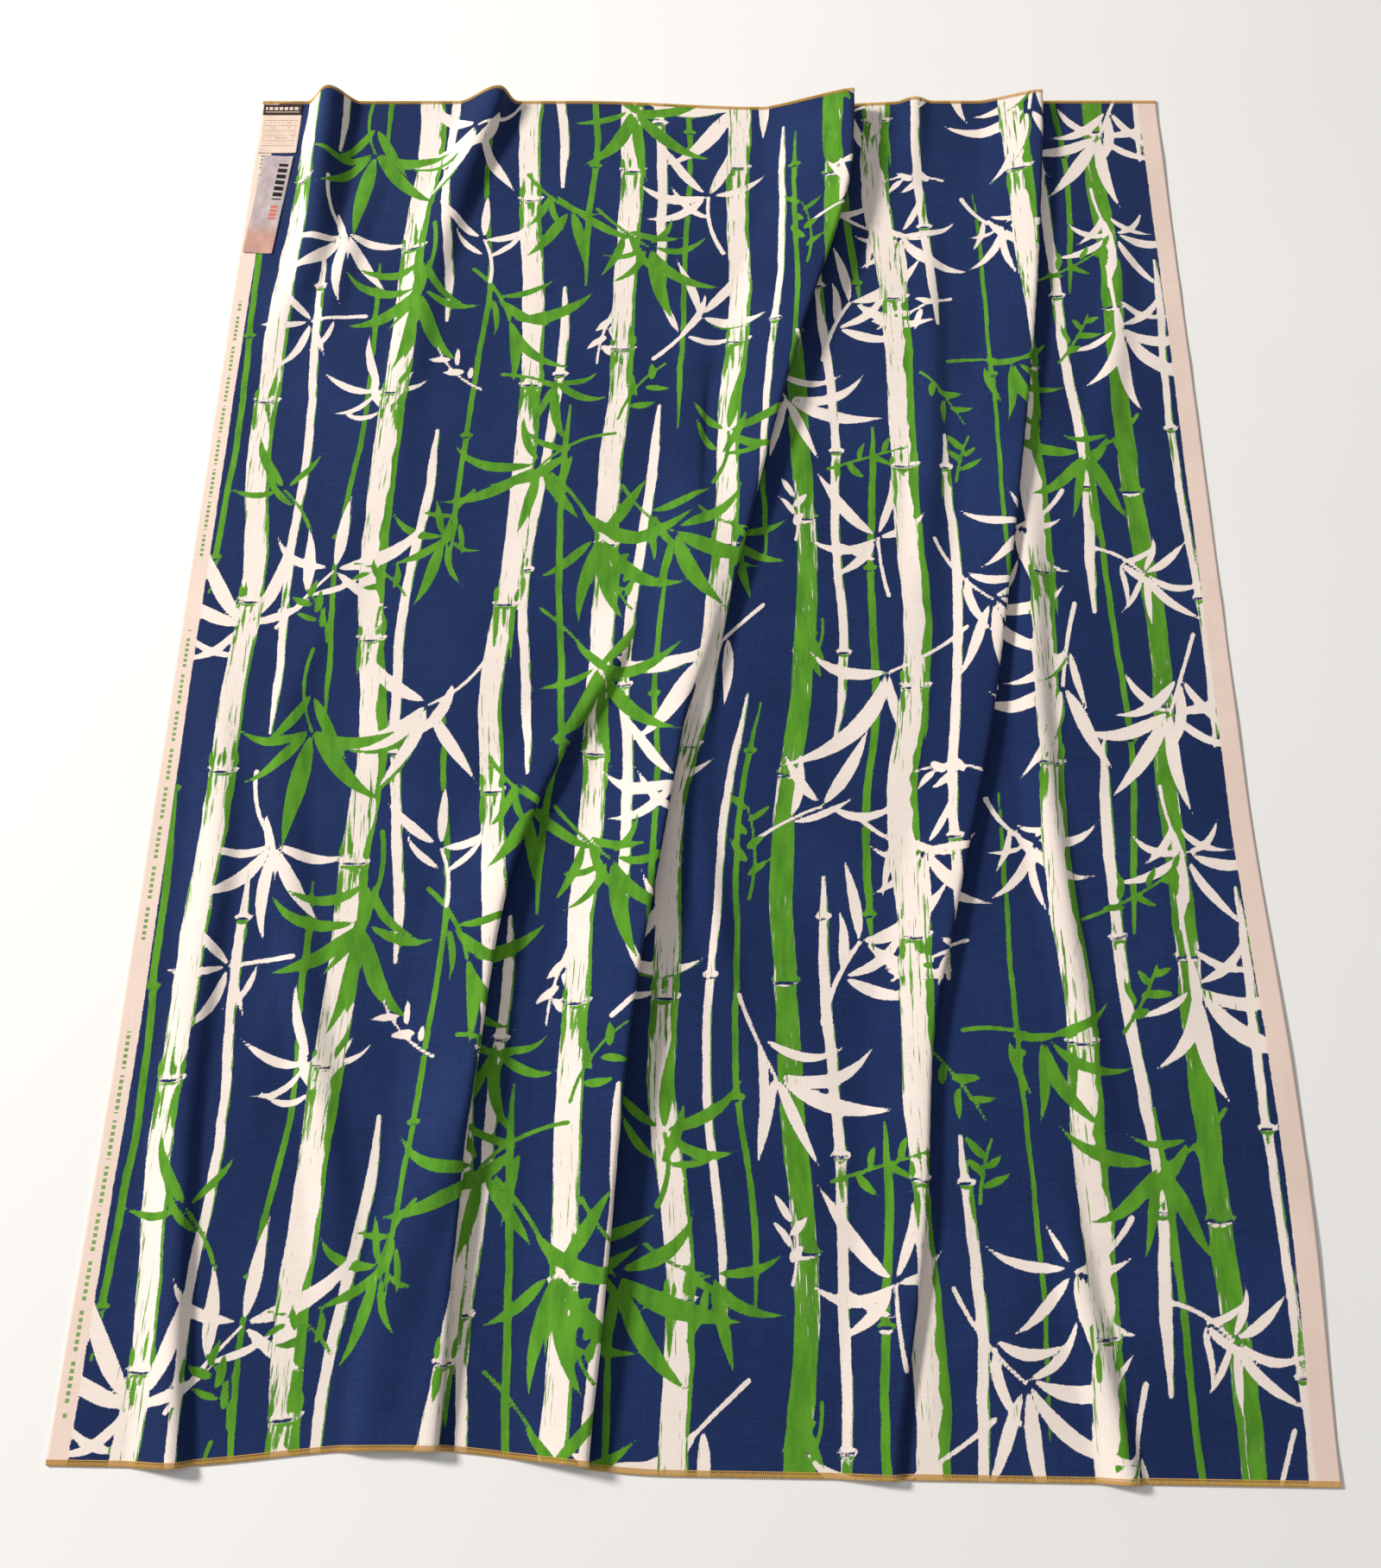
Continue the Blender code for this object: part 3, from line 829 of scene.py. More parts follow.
    def _print(self, ink: Ink, form: Form, start: np.ndarray, end: np.ndarray, width: float,
               bend: float) -> None:
        """Paint a leaf or twig in every repeat that it reaches."""
        length = float(np.hypot(*(end - start)))
        broad = form is Form.LEAF and width > self.broad_leaf
        shaded = broad and ink is Ink.WHITE and self.maker.random() < self.shaded_share
        for turn in REPEATS:
            root, tip = start + (0.0, turn * REPEAT), end + (0.0, turn * REPEAT)
            if shaded:
                self.board.stroke(Ink.GREEN, form, root + (1.4, -1.5), tip + (1.0, -2.2),
                                  width * 0.94, bend)
            self.board.stroke(ink, form, root, tip, width, bend)
            if broad and length > 45.0:
                self._dry(root, root + 0.42 * (tip - root), width * 0.35,
                          0.5 if ink is Ink.WHITE else -0.12)

    def _dry(self, start: np.ndarray, end: np.ndarray, width: float, amount: float) -> None:
        """Let the other ink show in dry brush near a leaf's foot."""
        board = self.board
        low, high = np.minimum(start, end) - width, np.maximum(start, end) + width
        place = board.window(low, high)
        x, y = np.meshgrid(board.across[place[1]], board.along[place[0]])
        if x.size == 0:
            return
        run = end - start
        share = np.clip(((x - start[0]) * run[0] + (y - start[1]) * run[1]) / (run @ run), 0, 1)
        away = np.hypot(x - start[0] - share * run[0], y - start[1] - share * run[1])
        near = np.clip(1.0 - away / width, 0.0, 1.0) * (1.0 - share)
        patch = board.streak[place]
        patch[...] = patch * (1.0 - near) + amount * near

    def _selvedges(self) -> None:
        """Leave the two selvedges bare."""
        board, right = self.board, CLOTH_FLAT_WIDTH / MILLIMETRE - self.right_selvedge
        left_line = self.left_selvedge + 0.5 * self._rough(40.0)[:, None]
        right_line = right + 0.5 * self._rough(40.0)[:, None]
        inside = np.maximum(left_line - board.across[None, :], board.across[None, :] - right_line)
        whole = (slice(0, len(board.along)), slice(0, len(board.across)))
        board.lay(Ink.WHITE, whole, inside)
        board.streak[inside > -2.0] = 0.0
        for name in ("white", "green"):
            setattr(board, name, np.clip(getattr(board, name), -board.reach, board.reach))


# ---- finishes ----------------------------------------------------------------------------------
@dataclass(frozen=True)
class PrintedCotton:
    """A plain weave of cotton, left bare or screened with flat inks."""

    bare: tuple[float, float, float] = srgb(252, 238, 228)
    selvedge: tuple[float, float, float] = srgb(246, 222, 208)
    navy: tuple[float, float, float] = srgb(22, 39, 82)
    navy_worn: tuple[float, float, float] = srgb(36, 57, 106)
    green: tuple[float, float, float] = srgb(99, 163, 44)
    green_thick: tuple[float, float, float] = srgb(76, 137, 36)
    show_through: tuple[float, float, float] = srgb(196, 198, 206)
    thread: float = 0.00085
    edge_softness: float = 0.38
    edge_roughness: float = 0.9
    roughness: float = 0.86
    sheen: float = 0.04

    def material(self) -> bpy.types.Material:
        """Build the material. It reads what the print stores on the mesh.

        Returns:
            The material.
        """
        g = Graph("printed_cotton")
        flat = g.flat_place()
        ragged = (g.noise(g.scaled(flat, (700.0, 420.0, 1.0)), 1.0, 3.0, 0.65) - 0.5)
        wide = (g.noise(g.scaled(flat, (140.0, 90.0, 1.0)), 1.0, 2.0) - 0.5)
        edge = ragged * (2.4 * self.edge_roughness) + wide * (1.6 * self.edge_roughness)
        soft = self.edge_softness
        white = (g.attribute("ink_white") + edge).ramp(-soft, soft)
        green = (g.attribute("ink_green") + edge).ramp(-soft, soft)
        streak = g.attribute("ink_streak")
        strokes = g.noise(g.scaled(flat, (330.0, 12.0, 1.0)), 1.0, 3.0, 0.6)
        fine = g.noise(g.scaled(flat, (700.0, 45.0, 1.0)), 1.0, 2.0, 0.6)
        brush = strokes * 0.7 + fine * 0.3
        greens, whites = streak.larger(0.0), (-streak).larger(0.0)
        green_on_white = (brush + greens * 0.24 - 0.655).ramp(-0.025, 0.03)
        white_on_green = (brush + whites * 0.34 - 0.665).ramp(-0.025, 0.03)
        green_on_white = green_on_white * greens.ramp(0.02, 0.10) * white
        white_on_green = white_on_green * whites.ramp(0.02, 0.10)
        green = (green + green_on_white).smaller(1.0) * (1.0 - white_on_green)
        white = white.larger(white_on_green * g.attribute("ink_green").ramp(-0.5, 0.5))
        navy_tone = self._slubs(g, flat)
        navy = g.mix(navy_tone, self.navy, self.navy_worn)
        green_tone = g.noise(g.scaled(flat, (60.0, 16.0, 1.0)), 1.0, 4.0, 0.6).ramp(0.35, 0.7)
        leaf = g.mix(green_tone, self.green, self.green_thick)
        place = g.parts(flat)
        right = CLOTH_FLAT_WIDTH - RIGHT_SELVEDGE
        border = (LEFT_SELVEDGE - place[0]).larger(place[0] - right).ramp(-0.002, 0.001)
        bare = g.mix(border, self.bare, self.selvedge)
        colour = g.mix(white, navy, bare)
        colour = g.mix(green, colour, leaf)
        colour = g.mix(self._selvedge_marks(g, place), colour, leaf)
        ghost = g.mix(white * 0.5 + 0.25, g.mix(0.35, self.show_through, self.navy_worn),
                      self.show_through)
        colour = g.mix(g.attribute("back_face"), colour, ghost)
        mottle = g.noise(g.scaled(flat, (9.0, 9.0, 1.0)), 1.0, 3.0).ramp(0.2, 0.8, 0.955, 1.03)
        colour = g.shade(colour, mottle * self._yarns(g, flat, 0.965, 1.025))
        weave = self._weave(g, place)
        ink_film = (1.0 - white) * 0.10
        normal = g.bump(weave + ink_film, 0.00016, 0.55)
        return g.finish(Base_Color=colour, Roughness=self.roughness, Normal=normal,
                        Sheen_Weight=self.sheen, Sheen_Roughness=0.55,
                        Specular_IOR_Level=0.12)

    def _slubs(self, g: Graph, flat: Value) -> Value:
        """How thin the navy lies, thread by thread."""
        weft = g.noise(g.scaled(flat, (30.0, 950.0, 1.0)), 1.0, 2.0, 0.6)
        warp = g.noise(g.scaled(flat, (950.0, 30.0, 1.0)), 1.0, 2.0, 0.6)
        broad = g.noise(g.scaled(flat, (6.0, 5.0, 1.0)), 1.0, 3.0, 0.5)
        return (weft * 0.45 + warp * 0.35 + broad * 0.5).ramp(0.42, 0.92)

    @staticmethod
    def _yarns(g: Graph, flat: Value, dark: float, light: float) -> Value:
        """The uneven tone of single yarns, both ways of the weave."""
        weft = g.noise(g.scaled(flat, (16.0, 620.0, 1.0)), 1.0, 1.0)
        warp = g.noise(g.scaled(flat, (620.0, 16.0, 1.0)), 1.0, 1.0)
        return (weft * 0.5 + warp * 0.5).ramp(0.3, 0.7, dark, light)

    def _weave(self, g: Graph, place: tuple[Value, Value, Value]) -> Value:
        """The height of a plain weave, 0 to 1."""
        turn = 2.0 * math.pi / (2.0 * self.thread)
        warp, weft = (place[0] * turn).sine(), (place[1] * turn).sine()
        over = (warp * weft).ramp(-0.6, 0.6)
        rounds = (place[0] * (2.0 * turn)).sine() * over
        rounds = rounds + (place[1] * (2.0 * turn)).sine() * (1.0 - over)
        return rounds * 0.5 + 0.5

    @staticmethod
    def _selvedge_marks(g: Graph, place: tuple[Value, Value, Value]) -> Value:
        """Three runs of small plain green dashes down the left selvedge."""
        across = place[0].near(0.0105, 0.0017, 0.0022)
        dash = place[1].repeat(0.0062).near(0.5, 0.26, 0.33)
        words = place[1].repeat(0.043).ramp(0.14, 0.16)
        runs = (place[1] * (1.0 / 0.44) + 0.12).fraction().ramp(0.20, 0.205)
        return across * dash * words * runs * 0.85


@dataclass(frozen=True)
class SpunThread:
    """Twisted gold polyester sewing thread."""

    light: tuple[float, float, float] = srgb(250, 204, 104)
    dark: tuple[float, float, float] = srgb(220, 162, 62)
    roughness: float = 0.55

    def material(self) -> bpy.types.Material:
        """Build the material.

        Returns:
            The material.
        """
        g = Graph("spun_thread")
        place = g.place()
        twist = g.noise(g.scaled(place, (2600.0, 2600.0, 900.0)), 1.0, 2.0)
        colour = g.mix(twist.ramp(0.3, 0.7), self.dark, self.light)
        return g.finish(Base_Color=colour, Roughness=self.roughness, Sheen_Weight=0.25,
                        Normal=g.bump(twist, 0.00012, 0.6))


@dataclass(frozen=True)
class PrintedPaper:
    """Cream paper with a dark band of plain blocks over thin ruled lines."""

    width: float
    length: float
    paper: tuple[float, float, float] = srgb(240, 216, 198)
    band: tuple[float, float, float] = srgb(52, 32, 28)
    rule: tuple[float, float, float] = srgb(150, 104, 88)
    band_height: float = 0.0165
    rule_pitch: float = 0.0082

    def material(self) -> bpy.types.Material:
        """Build the material, from the ticket's own flat place.

        Returns:
            The material.
        """
        g = Graph("ticket_paper")
        flat = g.flat_place()
        across, along, _ = g.parts(flat)
        from_top = self.length - along
        band = 1.0 - from_top.ramp(self.band_height, self.band_height + 0.0006)
        inner = across.within(0.0025, self.width - 0.0028, 0.0007)
        block = across.repeat(0.0061).near(0.5, 0.33, 0.38)
        row = from_top.near(0.0062, 0.0020, 0.0026)
        thin = from_top.near(0.0116, 0.0003, 0.0006)
        mark = (block * row).larger(thin) * inner
        lines = (from_top - 0.021).repeat(self.rule_pitch).near(0.5, 0.035, 0.075)
        lines = lines * inner * from_top.within(0.0205, 0.0715, 0.0005)
        words = g.noise(g.scaled(flat, (420.0, 60.0, 1.0)), 1.0, 2.0).ramp(0.50, 0.56)
        small = (from_top - 0.0248).repeat(self.rule_pitch).near(0.5, 0.09, 0.15)
        small = small * words * inner * from_top.within(0.024, 0.067, 0.001) * 0.55
        fibre = g.noise(g.scaled(flat, (900.0, 700.0, 1.0)), 1.0, 4.0, 0.7)
        stain = g.noise(g.scaled(flat, (70.0, 50.0, 1.0)), 1.0, 3.0).ramp(0.3, 0.8, 0.90, 1.04)
        colour = g.mix(lines * 0.75, self.paper, self.rule)
        colour = g.mix(small, colour, self.rule)
        colour = g.mix(band, colour, g.mix(mark, self.band, self.paper))
        colour = g.shade(colour, stain * fibre.ramp(0.2, 0.8, 0.97, 1.03))
        return g.finish(Base_Color=colour, Roughness=fibre.ramp(0.2, 0.8, 0.62, 0.78),
                        Normal=g.bump(fibre, 0.00005, 0.4), Specular_IOR_Level=0.3)


@dataclass(frozen=True)
class ClearFilm:
    """A creased clear plastic strip with dark marks and a salmon patch printed on it."""

    width: float
    length: float
    haze: tuple[float, float, float] = srgb(214, 198, 198)
    salmon: tuple[float, float, float] = srgb(226, 122, 104)
    blush: tuple[float, float, float] = srgb(226, 176, 160)
    dark: tuple[float, float, float] = srgb(26, 20, 26)

    def material(self) -> bpy.types.Material:
        """Build the material, from the strip's own flat place.

        Returns:
            The material.
        """
        g = Graph("clear_film")
        flat = g.flat_place()
        across, along, _ = g.parts(flat)
        from_top = self.length - along
        column = across.within(0.0205, self.width - 0.0035, 0.0007)
        bar = from_top.repeat(0.0094).near(0.5, 0.30, 0.36)
        marks = bar * column * from_top.within(0.012, 0.070, 0.001)
        patch = across.within(0.0215, self.width - 0.0050, 0.001)
        patch = patch * from_top.within(0.078, 0.101, 0.001)
        patch = patch * (1.0 - from_top.repeat(0.0062).near(0.5, 0.10, 0.16))
        foot = from_top.ramp(0.100, 0.130)
        cloud = g.noise(g.scaled(flat, (60.0, 34.0, 1.0)), 1.0, 4.0, 0.6)
        colour = g.mix(foot, self.haze, self.blush)
        colour = g.shade(colour, cloud.ramp(0.25, 0.75, 0.86, 1.08))
        colour = g.mix(patch, colour, self.salmon)
        colour = g.mix(marks, colour, self.dark)
        clear = cloud.ramp(0.3, 0.7, 0.72, 0.90)
        alpha = clear.larger(marks).larger(patch * 0.9).larger(foot * 0.82)
        crease = g.noise(g.scaled(flat, (110.0, 26.0, 1.0)), 1.0, 3.0, 0.55)
        return g.finish(Base_Color=colour, Roughness=0.16, Alpha=alpha,
                        Normal=g.bump(crease, 0.0012, 0.5), Coat_Weight=0.6,
                        Coat_Roughness=0.06)


@dataclass(frozen=True)
class StudioPaper:
    """The plain pale ground."""

    colour: tuple[float, float, float] = srgb(252, 251, 249)

    def material(self) -> bpy.types.Material:
        """Build the material.

        Returns:
            The material.
        """
        g = Graph("studio_ground")
        cloud = g.noise(g.place(), 3.0, 2.0).ramp(0.3, 0.7, 0.985, 1.0)
        colour = g.shade(self.colour, cloud)
        return g.finish(Base_Color=colour, Roughness=0.9, Specular_IOR_Level=0.1)


# ---- the pieces --------------------------------------------------------------------------------
def add_attribute(mesh: bpy.types.Mesh, name: str, kind: str, values: np.ndarray) -> None:
    """Store numbers on a mesh's points."""
    key = "vector" if kind == "FLOAT_VECTOR" else "value"
    layer = mesh.attributes.new(name, kind, "POINT")
    layer.data.foreach_set(key, np.ascontiguousarray(values, np.float32).ravel())


def add_piece(name: str, points: np.ndarray, faces: Iterable[Sequence[int]],
              material: bpy.types.Material) -> bpy.types.Object:
    """Make a mesh object that rides with the cloth.

    Args:
        name: The piece's name.
        points: Its vertices.
        faces: Their indices, face by face.
        material: Its finish.

    Returns:
        The object.
    """
    mesh = bpy.data.meshes.new(name)
    mesh.from_pydata([tuple(p) for p in points.tolist()], [], faces)
    mesh.materials.append(material)
    piece = bpy.data.objects.new(name, mesh)
    bpy.context.scene.collection.objects.link(piece)
    mesh.polygons.foreach_set("use_smooth", np.ones(len(mesh.polygons), bool))
    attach(piece, "root")
    return piece


def grid_faces(rows: int, columns: int, first: int, upward: bool) -> list[tuple[int, ...]]:
    """The quads of a grid of points, facing up or down."""
    index = first + np.arange(rows * columns).reshape(rows, columns)
    corners = [index[:-1, :-1], index[:-1, 1:], index[1:, 1:], index[1:, :-1]]
    quads = np.stack(corners if upward else corners[::-1], axis=-1).reshape(-1, 4)
    return [tuple(quad) for quad in quads.tolist()]


@dataclass
class PrintedCloth:
    """The cloth itself: a printed face over a back with fewer rows, joined round the edges.

    The back keeps every column, because the folds bend the cloth crosswise, and a longer step
    there cuts through the face. Its longer step in rows still touches the face in a few places
    at the foot of two folds, which a step of 1 would clear.
    """

    drape: Drape
    printed: BambooPrint
    thickness: float = 0.0008
    back_row_step: int = 2
    face_share: float = 0.77
    back_share: tuple[float, float] = (0.78, 1.0)

    def build(self) -> bpy.types.Object:
        """Build the cloth.

        Returns:
            The cloth.
        """
        face = self.drape.lifted(self.thickness)
        back = self.drape.points[::self.back_row_step]
        rows, columns = face.shape[:2]
        first = rows * columns
        quads = grid_faces(rows, columns, 0, True)
        quads += grid_faces(len(back), columns, first, False)
        quads += self._rim(rows, len(back), columns)
        points = np.concatenate([face.reshape(-1, 3), back.reshape(-1, 3)])
        piece = add_piece("printed_cloth_drape", points, quads,
                          PrintedCotton().material())
        self._store(piece.data, rows, columns, first, len(points))
        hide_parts("printed_cloth")
        return piece

    @staticmethod
    def _rim(rows: int, back_rows: int, columns: int) -> list[tuple[int, ...]]:
        """The faces between the printed face and the back, round the four edges."""
        index = np.arange((rows + back_rows) * columns).reshape(-1, columns)
        face, back = index[:rows], index[rows:]
        sides = ((face[0], back[0]), (face[:, -1], back[:, -1]),
                 (face[-1, ::-1], back[-1, ::-1]), (face[::-1, 0], back[::-1, 0]))
        faces = []
        for top, bottom in sides:
            step = (len(top) - 1) // (len(bottom) - 1)
            for k in range(len(bottom) - 1):
                upper = top[k * step:(k + 1) * step + 1][::-1]
                faces.append((int(bottom[k]), int(bottom[k + 1]), *(int(v) for v in upper)))
        return faces

    def _store(self, mesh: bpy.types.Mesh, rows: int, columns: int, first: int,
               total: int) -> None:
        """Store the print and the flat place on the mesh, and lay out its map."""
        across, along = np.meshgrid(self.drape.across, self.drape.along)

        def both(values: np.ndarray) -> np.ndarray:
            return np.concatenate([values.ravel(), values[::self.back_row_step].ravel()])

        board = self.printed.board
        for name in ("white", "green", "streak"):
            add_attribute(mesh, f"ink_{name}", "FLOAT", both(getattr(board, name)))
        side = (np.arange(total) >= first).astype(float)
        add_attribute(mesh, "back_face", "FLOAT", side)
        u, v = both(across), both(along)
        place = np.stack([u * CLOTH_FLAT_WIDTH, v * CLOTH_LENGTH, np.zeros(total)], axis=1)
        add_attribute(mesh, "flat_place", "FLOAT_VECTOR", place)
        corner = np.zeros(len(mesh.loops), int)
        mesh.loops.foreach_get("vertex_index", corner)
        owner = np.repeat(np.arange(len(mesh.polygons)),
                          [p.loop_total for p in mesh.polygons])
        on_back = np.zeros(len(mesh.polygons), bool)
        face_quads = (rows - 1) * (columns - 1)
        rim = 2 * ((rows - 1) // self.back_row_step + columns - 1)
        on_back[face_quads:len(mesh.polygons) - rim] = True
        low, high = self.back_share
        x = np.where(on_back[owner], low + (high - low) * u[corner], self.face_share * u[corner])
        mapped = mesh.uv_layers.new(name="OFBake")
        mapped.data.foreach_set("uv", np.stack([x, v[corner]], axis=1).astype(np.float32).ravel())
        smooth = np.ones(len(mesh.polygons), bool)
        smooth[len(mesh.polygons) - rim:] = False
        mesh.polygons.foreach_set("use_smooth", smooth)


class End(Enum):
    """An end of the cloth, bound by its own threads."""

    NEAR = "near"
    FAR = "far"


@dataclass
class Overlock:
    """A three-thread overlock seam round one end of the cloth."""

    drape: Drape
    cloth: PrintedCloth
    end: End
    radius: float = 0.0003
    pitch: float = 0.0017
    inset: float = 0.0045
    overhang: float = 0.0007

    def build(self, material: bpy.types.Material) -> list[bpy.types.Object]:
        """Build the seam's three threads.

        Args:
            material: The thread's finish.

        Returns:
            The threads.
        """
        face = self.cloth.thickness + self.radius
        stitches = int(CLOTH_FLAT_WIDTH / self.pitch)
        start = (CLOTH_FLAT_WIDTH - stitches * self.pitch) / 2
        steps = start + self.pitch * np.arange(stitches + 1)
        needle = self._needle(steps, face)
        upper = self._looper(steps, face, 1.0)
        lower = self._looper(steps + self.pitch / 2, -0.6 * self.radius, -1.0)
        lines = {"needle": needle, "upper_looper": upper, "lower_looper": lower}
        return [self._thread(kind, line, material) for kind, line in lines.items()]

    def _place(self, across: np.ndarray, inwards: np.ndarray, over: np.ndarray) -> np.ndarray:
        """Points by their distance in from the end, which may be a little beyond it."""
        near = self.end is End.NEAR
        inside = np.maximum(inwards, 0.0)
        along = inside if near else CLOTH_LENGTH - inside
        points = self.drape.at(across, along, 0.0)
        above = self.drape.at(across, along, 1.0) - points
        points = points + above * over[:, None]
        beyond = np.maximum(-inwards, 0.0)
        points[:, 1] += -beyond if near else beyond
        return points

    def _needle(self, steps: np.ndarray, face: float) -> np.ndarray:
        """A running stitch that dips into the cloth between stitches."""
        across = np.sort(np.concatenate([steps, steps[:-1] + 0.35 * self.pitch,
                                         steps[:-1] + 0.65 * self.pitch]))
        dips = np.zeros(len(across))
        dips[::3] = -1.15 * self.radius
        return self._place(across, np.full(len(across), self.inset), face + dips)

    def _looper(self, steps: np.ndarray, over: float, way: float) -> np.ndarray:
        """Loops from the needle line to the end and back, on one side of the cloth."""
        middle = self.cloth.thickness / 2
        pattern = ((0.00, self.inset + 0.0003, over), (0.20, 0.5 * self.inset, over + way * 2e-4),
                   (0.38, 0.0004, over), (0.50, -self.overhang, middle),
                   (0.62, 0.0004, over), (0.80, 0.5 * self.inset, over + way * 4e-4))
        across = np.concatenate([steps[:-1] + share * self.pitch for share, _, _ in pattern])
        inwards = np.concatenate([np.full(len(steps) - 1, inward) for _, inward, _ in pattern])
        height = np.concatenate([np.full(len(steps) - 1, up) for _, _, up in pattern])
        order = np.argsort(across, kind="stable")
        across = np.clip(across[order], 0.0, CLOTH_FLAT_WIDTH)
        return self._place(across, inwards[order], height[order])

    def _thread(self, kind: str, line: np.ndarray, material: bpy.types.Material
                ) -> bpy.types.Object:
        """A round thread along a line, in place of the plainer one."""
        name = f"{self.end.value}_{kind}_thread"
        curve = bpy.data.curves.new(name + "_line", "CURVE")
        curve.dimensions = "3D"
        curve.bevel_depth = self.radius
        curve.bevel_resolution = 1
        curve.use_fill_caps = True
        spline = curve.splines.new("POLY")
        spline.points.add(len(line) - 1)
        spline.points.foreach_set("co", np.column_stack([line, np.ones(len(line))]).ravel())
        holder = bpy.data.objects.new(name + "_line", curve)
        bpy.context.scene.collection.objects.link(holder)
        mesh = bpy.data.meshes.new_from_object(
            holder.evaluated_get(bpy.context.evaluated_depsgraph_get()))
        bpy.data.objects.remove(holder)
        mesh.name = name + "_stitches"
        mesh.materials.clear()
        mesh.materials.append(material)
        mesh.polygons.foreach_set("use_smooth", np.ones(len(mesh.polygons), bool))
        piece = bpy.data.objects.new(name + "_stitches", mesh)
        bpy.context.scene.collection.objects.link(piece)
        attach(piece, "root")
        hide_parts(name)
        return piece


@dataclass
class LyingSlip:
    """A thin slip that lies on the printed face near the far left corner."""

    drape: Drape
    cloth: PrintedCloth
    name: str
    node: str
    slot: str
    width: float
    length: float
    corner: tuple[float, float]
    thickness: float
    gap: float
    turn: float = 0.0
    curl: float = 0.0006
    crumple: float = 0.0
    columns: int = 30
    rows: int = 60

    def build(self, material: bpy.types.Material) -> bpy.types.Object:
        """Build the slip.

        Args:
            material: Its finish. It reads the slip's own flat place.

        Returns:
            The slip.
        """
        across, along = np.meshgrid(np.linspace(0, self.width, self.columns),
                                    np.linspace(0, self.length, self.rows))
        cos, sin = math.cos(self.turn), math.sin(self.turn)
        top_x, top_y = across, along - self.length
        u = self.corner[0] + cos * top_x - sin * top_y
        v = self.corner[1] + sin * top_x + cos * top_y
        points = self.drape.at(u.ravel(), v.ravel(), self.cloth.thickness + self.gap)
        lift = self._lift(across / self.width, along / self.length).ravel()
        points[:, 2] += lift
        below, above = points, points + np.array([0.0, 0.0, self.thickness])
        first = len(points)
        faces = grid_faces(self.rows, self.columns, first, True)
        faces += grid_faces(self.rows, self.columns, 0, False)
        low = np.arange(first).reshape(self.rows, self.columns)
        ring = np.concatenate([low[0, :-1], low[:-1, -1], low[-1, :0:-1], low[:0:-1, 0]])
        for a, b in zip(ring, np.roll(ring, -1)):
            faces.append((int(a), int(b), int(b + first), int(a + first)))
        piece = add_piece(self.name, np.concatenate([below, above]), faces, material)
        flat = np.stack([across.ravel(), along.ravel(), np.zeros(first)], axis=1)
        add_attribute(piece.data, "flat_place", "FLOAT_VECTOR", np.concatenate([flat, flat]))
        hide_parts(self.node)
        return piece

    def _lift(self, across: np.ndarray, along: np.ndarray) -> np.ndarray:
        """How far the slip rises off the cloth: its corners curl, and a crumpled one waves."""
        corners = np.abs(2 * across - 1) ** 3 * np.abs(2 * along - 1) ** 4
        waves = np.sin(9.0 * along + 2.0 * across) * np.sin(3.0 * along - 4.0 * across + 1.0)
        return self.curl * corners + self.crumple * (0.5 + 0.5 * waves)


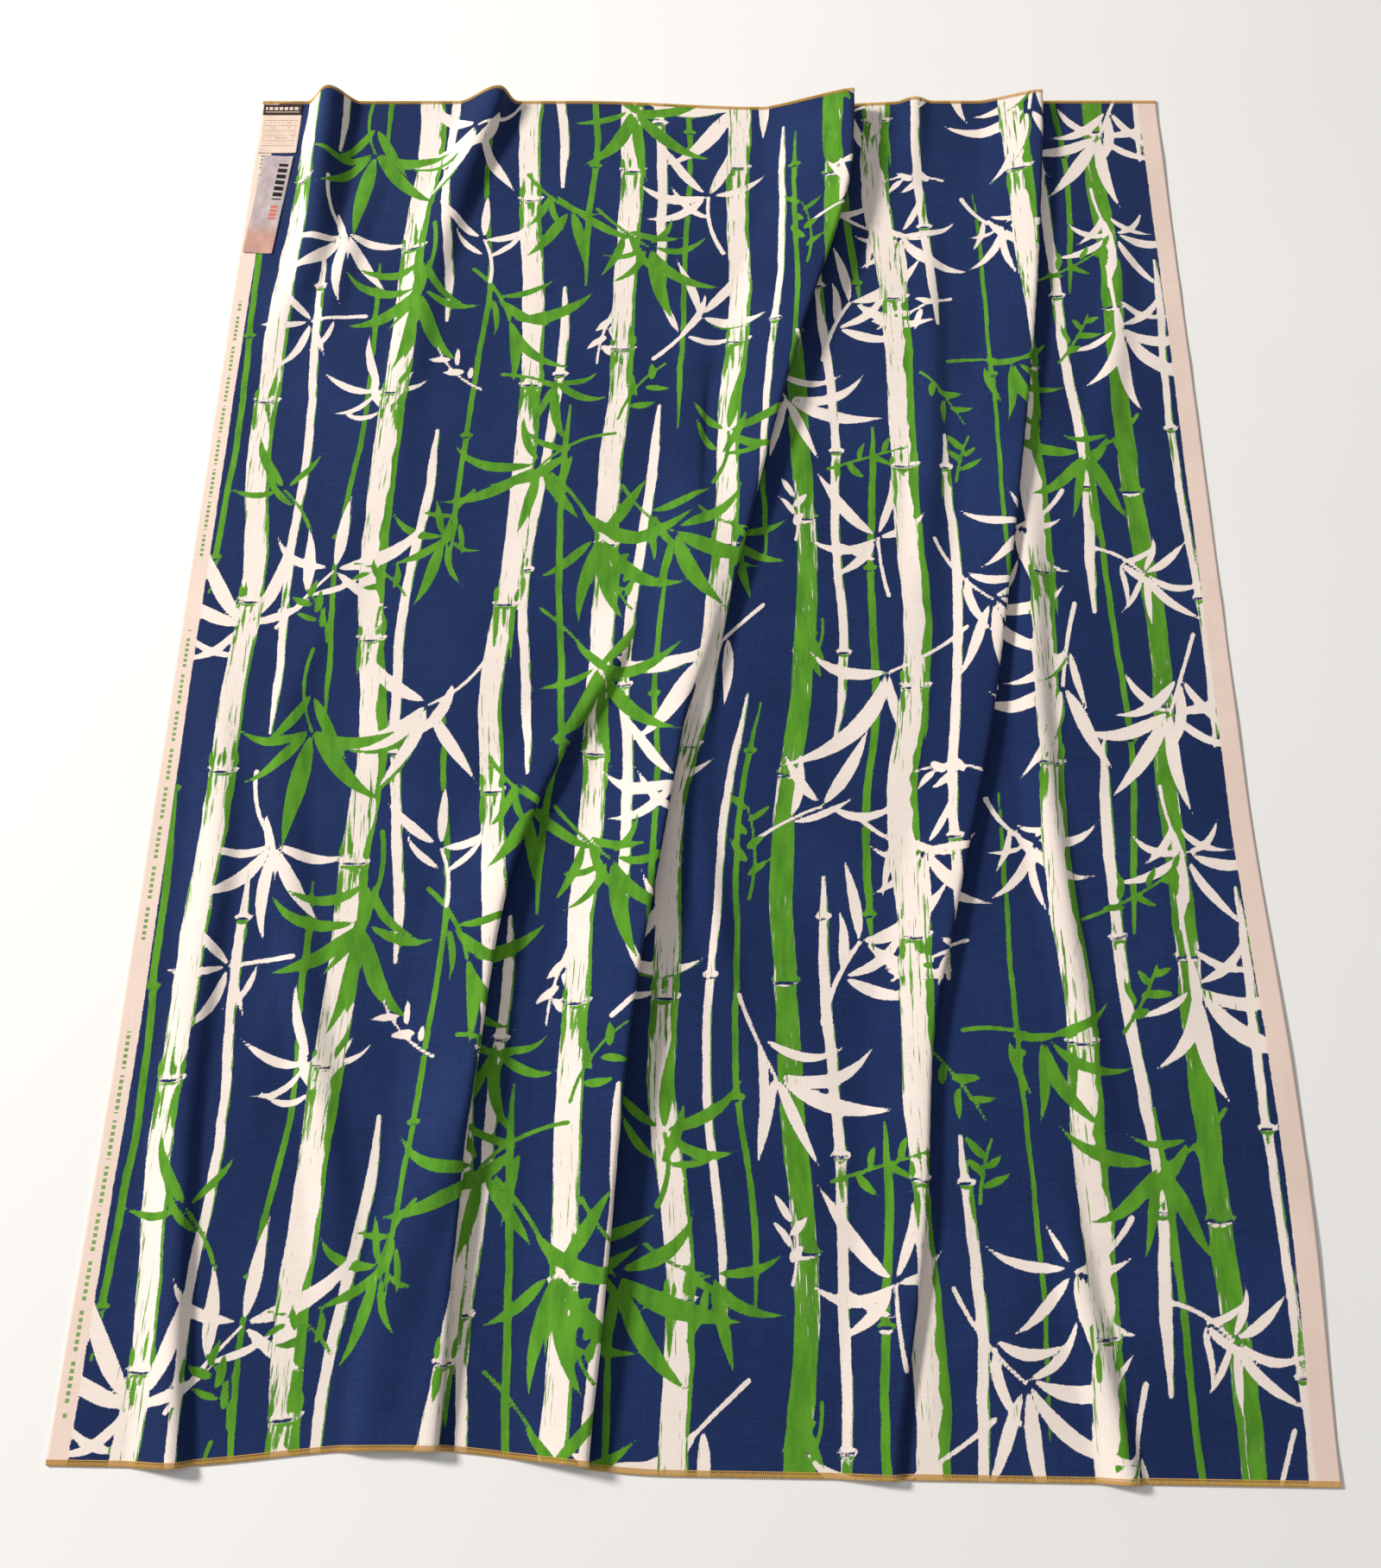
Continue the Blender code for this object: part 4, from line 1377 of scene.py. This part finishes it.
@dataclass(frozen=True)
class Studio:
    """The ground, the lights and the camera."""

    camera_place: tuple[float, float, float] = (0.0135, -0.6073, 1.3261)
    pitch: float = math.radians(70.48)
    yaw: float = -0.0518
    roll: float = -0.0407
    lens: float = 30.73

    def build(self) -> None:
        """Set the studio up."""
        self._ground()
        self._area("key", (-5.2, 2.0, 3.5), 1.3, 488.0, (1.0, 0.965, 0.92))
        self._area("top", (0.3, 0.2, 3.2), 2.4, 14.0, (1.0, 0.98, 0.95))
        world = bpy.data.worlds.new("studio_world")
        world.use_nodes = True
        sky = world.node_tree.nodes["Background"]
        sky.inputs["Color"].default_value = (0.95, 0.97, 1.0, 1.0)
        sky.inputs["Strength"].default_value = 0.25
        bpy.context.scene.world = world
        bpy.context.scene.view_settings.view_transform = "Standard"
        self._camera()

    def _ground(self) -> None:
        """A wide plain ground just under the cloth."""
        side = 6.0
        mesh = bpy.data.meshes.new("studio_ground")
        corners = [(-side, -side, 0), (side, -side, 0), (side, side, 0), (-side, side, 0)]
        mesh.from_pydata(corners, [], [(0, 1, 2, 3)])
        mesh.materials.append(StudioPaper().material())
        ground = bpy.data.objects.new("studio_ground", mesh)
        bpy.context.scene.collection.objects.link(ground)

    @staticmethod
    def _area(name: str, place: tuple[float, float, float], size: float, power: float,
              colour: tuple[float, float, float]) -> None:
        """A soft light that faces the middle of the cloth."""
        data = bpy.data.lights.new(name, "AREA")
        data.shape, data.size, data.energy, data.color = "DISK", size, power, colour
        light = bpy.data.objects.new(name, data)
        light.location = place
        light.rotation_euler = Vector(place).to_track_quat("Z", "Y").to_euler()
        bpy.context.scene.collection.objects.link(light)

    def _camera(self) -> None:
        """The camera, by its turn about the three axes."""
        cp, sp = math.cos(self.pitch), math.sin(self.pitch)
        ahead = Vector((math.sin(self.yaw) * cp, math.cos(self.yaw) * cp, -sp))
        right = Vector((math.cos(self.yaw), -math.sin(self.yaw), 0.0))
        up = right.cross(ahead)
        cr, sr = math.cos(self.roll), math.sin(self.roll)
        right, up = right * cr + up * sr, up * cr - right * sr
        data = bpy.data.cameras.new("camera")
        data.sensor_fit, data.sensor_width, data.lens = "AUTO", 36.0, self.lens
        camera = bpy.data.objects.new("camera", data)
        turn = Matrix((right, up, -ahead)).transposed()
        camera.matrix_world = Matrix.Translation(self.camera_place) @ turn.to_4x4()
        bpy.context.scene.collection.objects.link(camera)
        bpy.context.scene.camera = camera


def main() -> None:
    """Build the cloth and everything on it, then the studio."""
    logging.basicConfig(level=logging.INFO, format="%(name)s: %(message)s")
    drape = Drape()
    printed = BambooPrint(drape)
    cloth = PrintedCloth(drape, printed)
    sheet = cloth.build()
    LOG.info("%s: %d faces", sheet.name, len(sheet.data.polygons))
    thread = SpunThread().material()
    pieces = [piece for end in End for piece in Overlock(drape, cloth, end).build(thread)]
    ticket = LyingSlip(drape, cloth, "paper_ticket_slip", "paper_ticket", "ticket_paper",
                       TICKET_WIDTH, TICKET_LENGTH, (0.003, CLOTH_LENGTH - 0.0065), 0.00025,
                       0.00035)
    pieces.append(ticket.build(PrintedPaper(TICKET_WIDTH, TICKET_LENGTH).material()))
    film = LyingSlip(drape, cloth, "film_label_strip", "film_label", "film", FILM_WIDTH,
                     FILM_LENGTH, (0.012, CLOTH_LENGTH - 0.0885), 0.00015, 0.0004,
                     turn=math.radians(-3.0), crumple=0.0010, rows=90)
    pieces.append(film.build(ClearFilm(FILM_WIDTH, FILM_LENGTH).material()))
    for piece in pieces:
        LOG.info("%s: %d faces", piece.name, len(piece.data.polygons))
    Studio().build()
    LOG.info("studio and size record done")


if __name__ == "__main__":
    main()
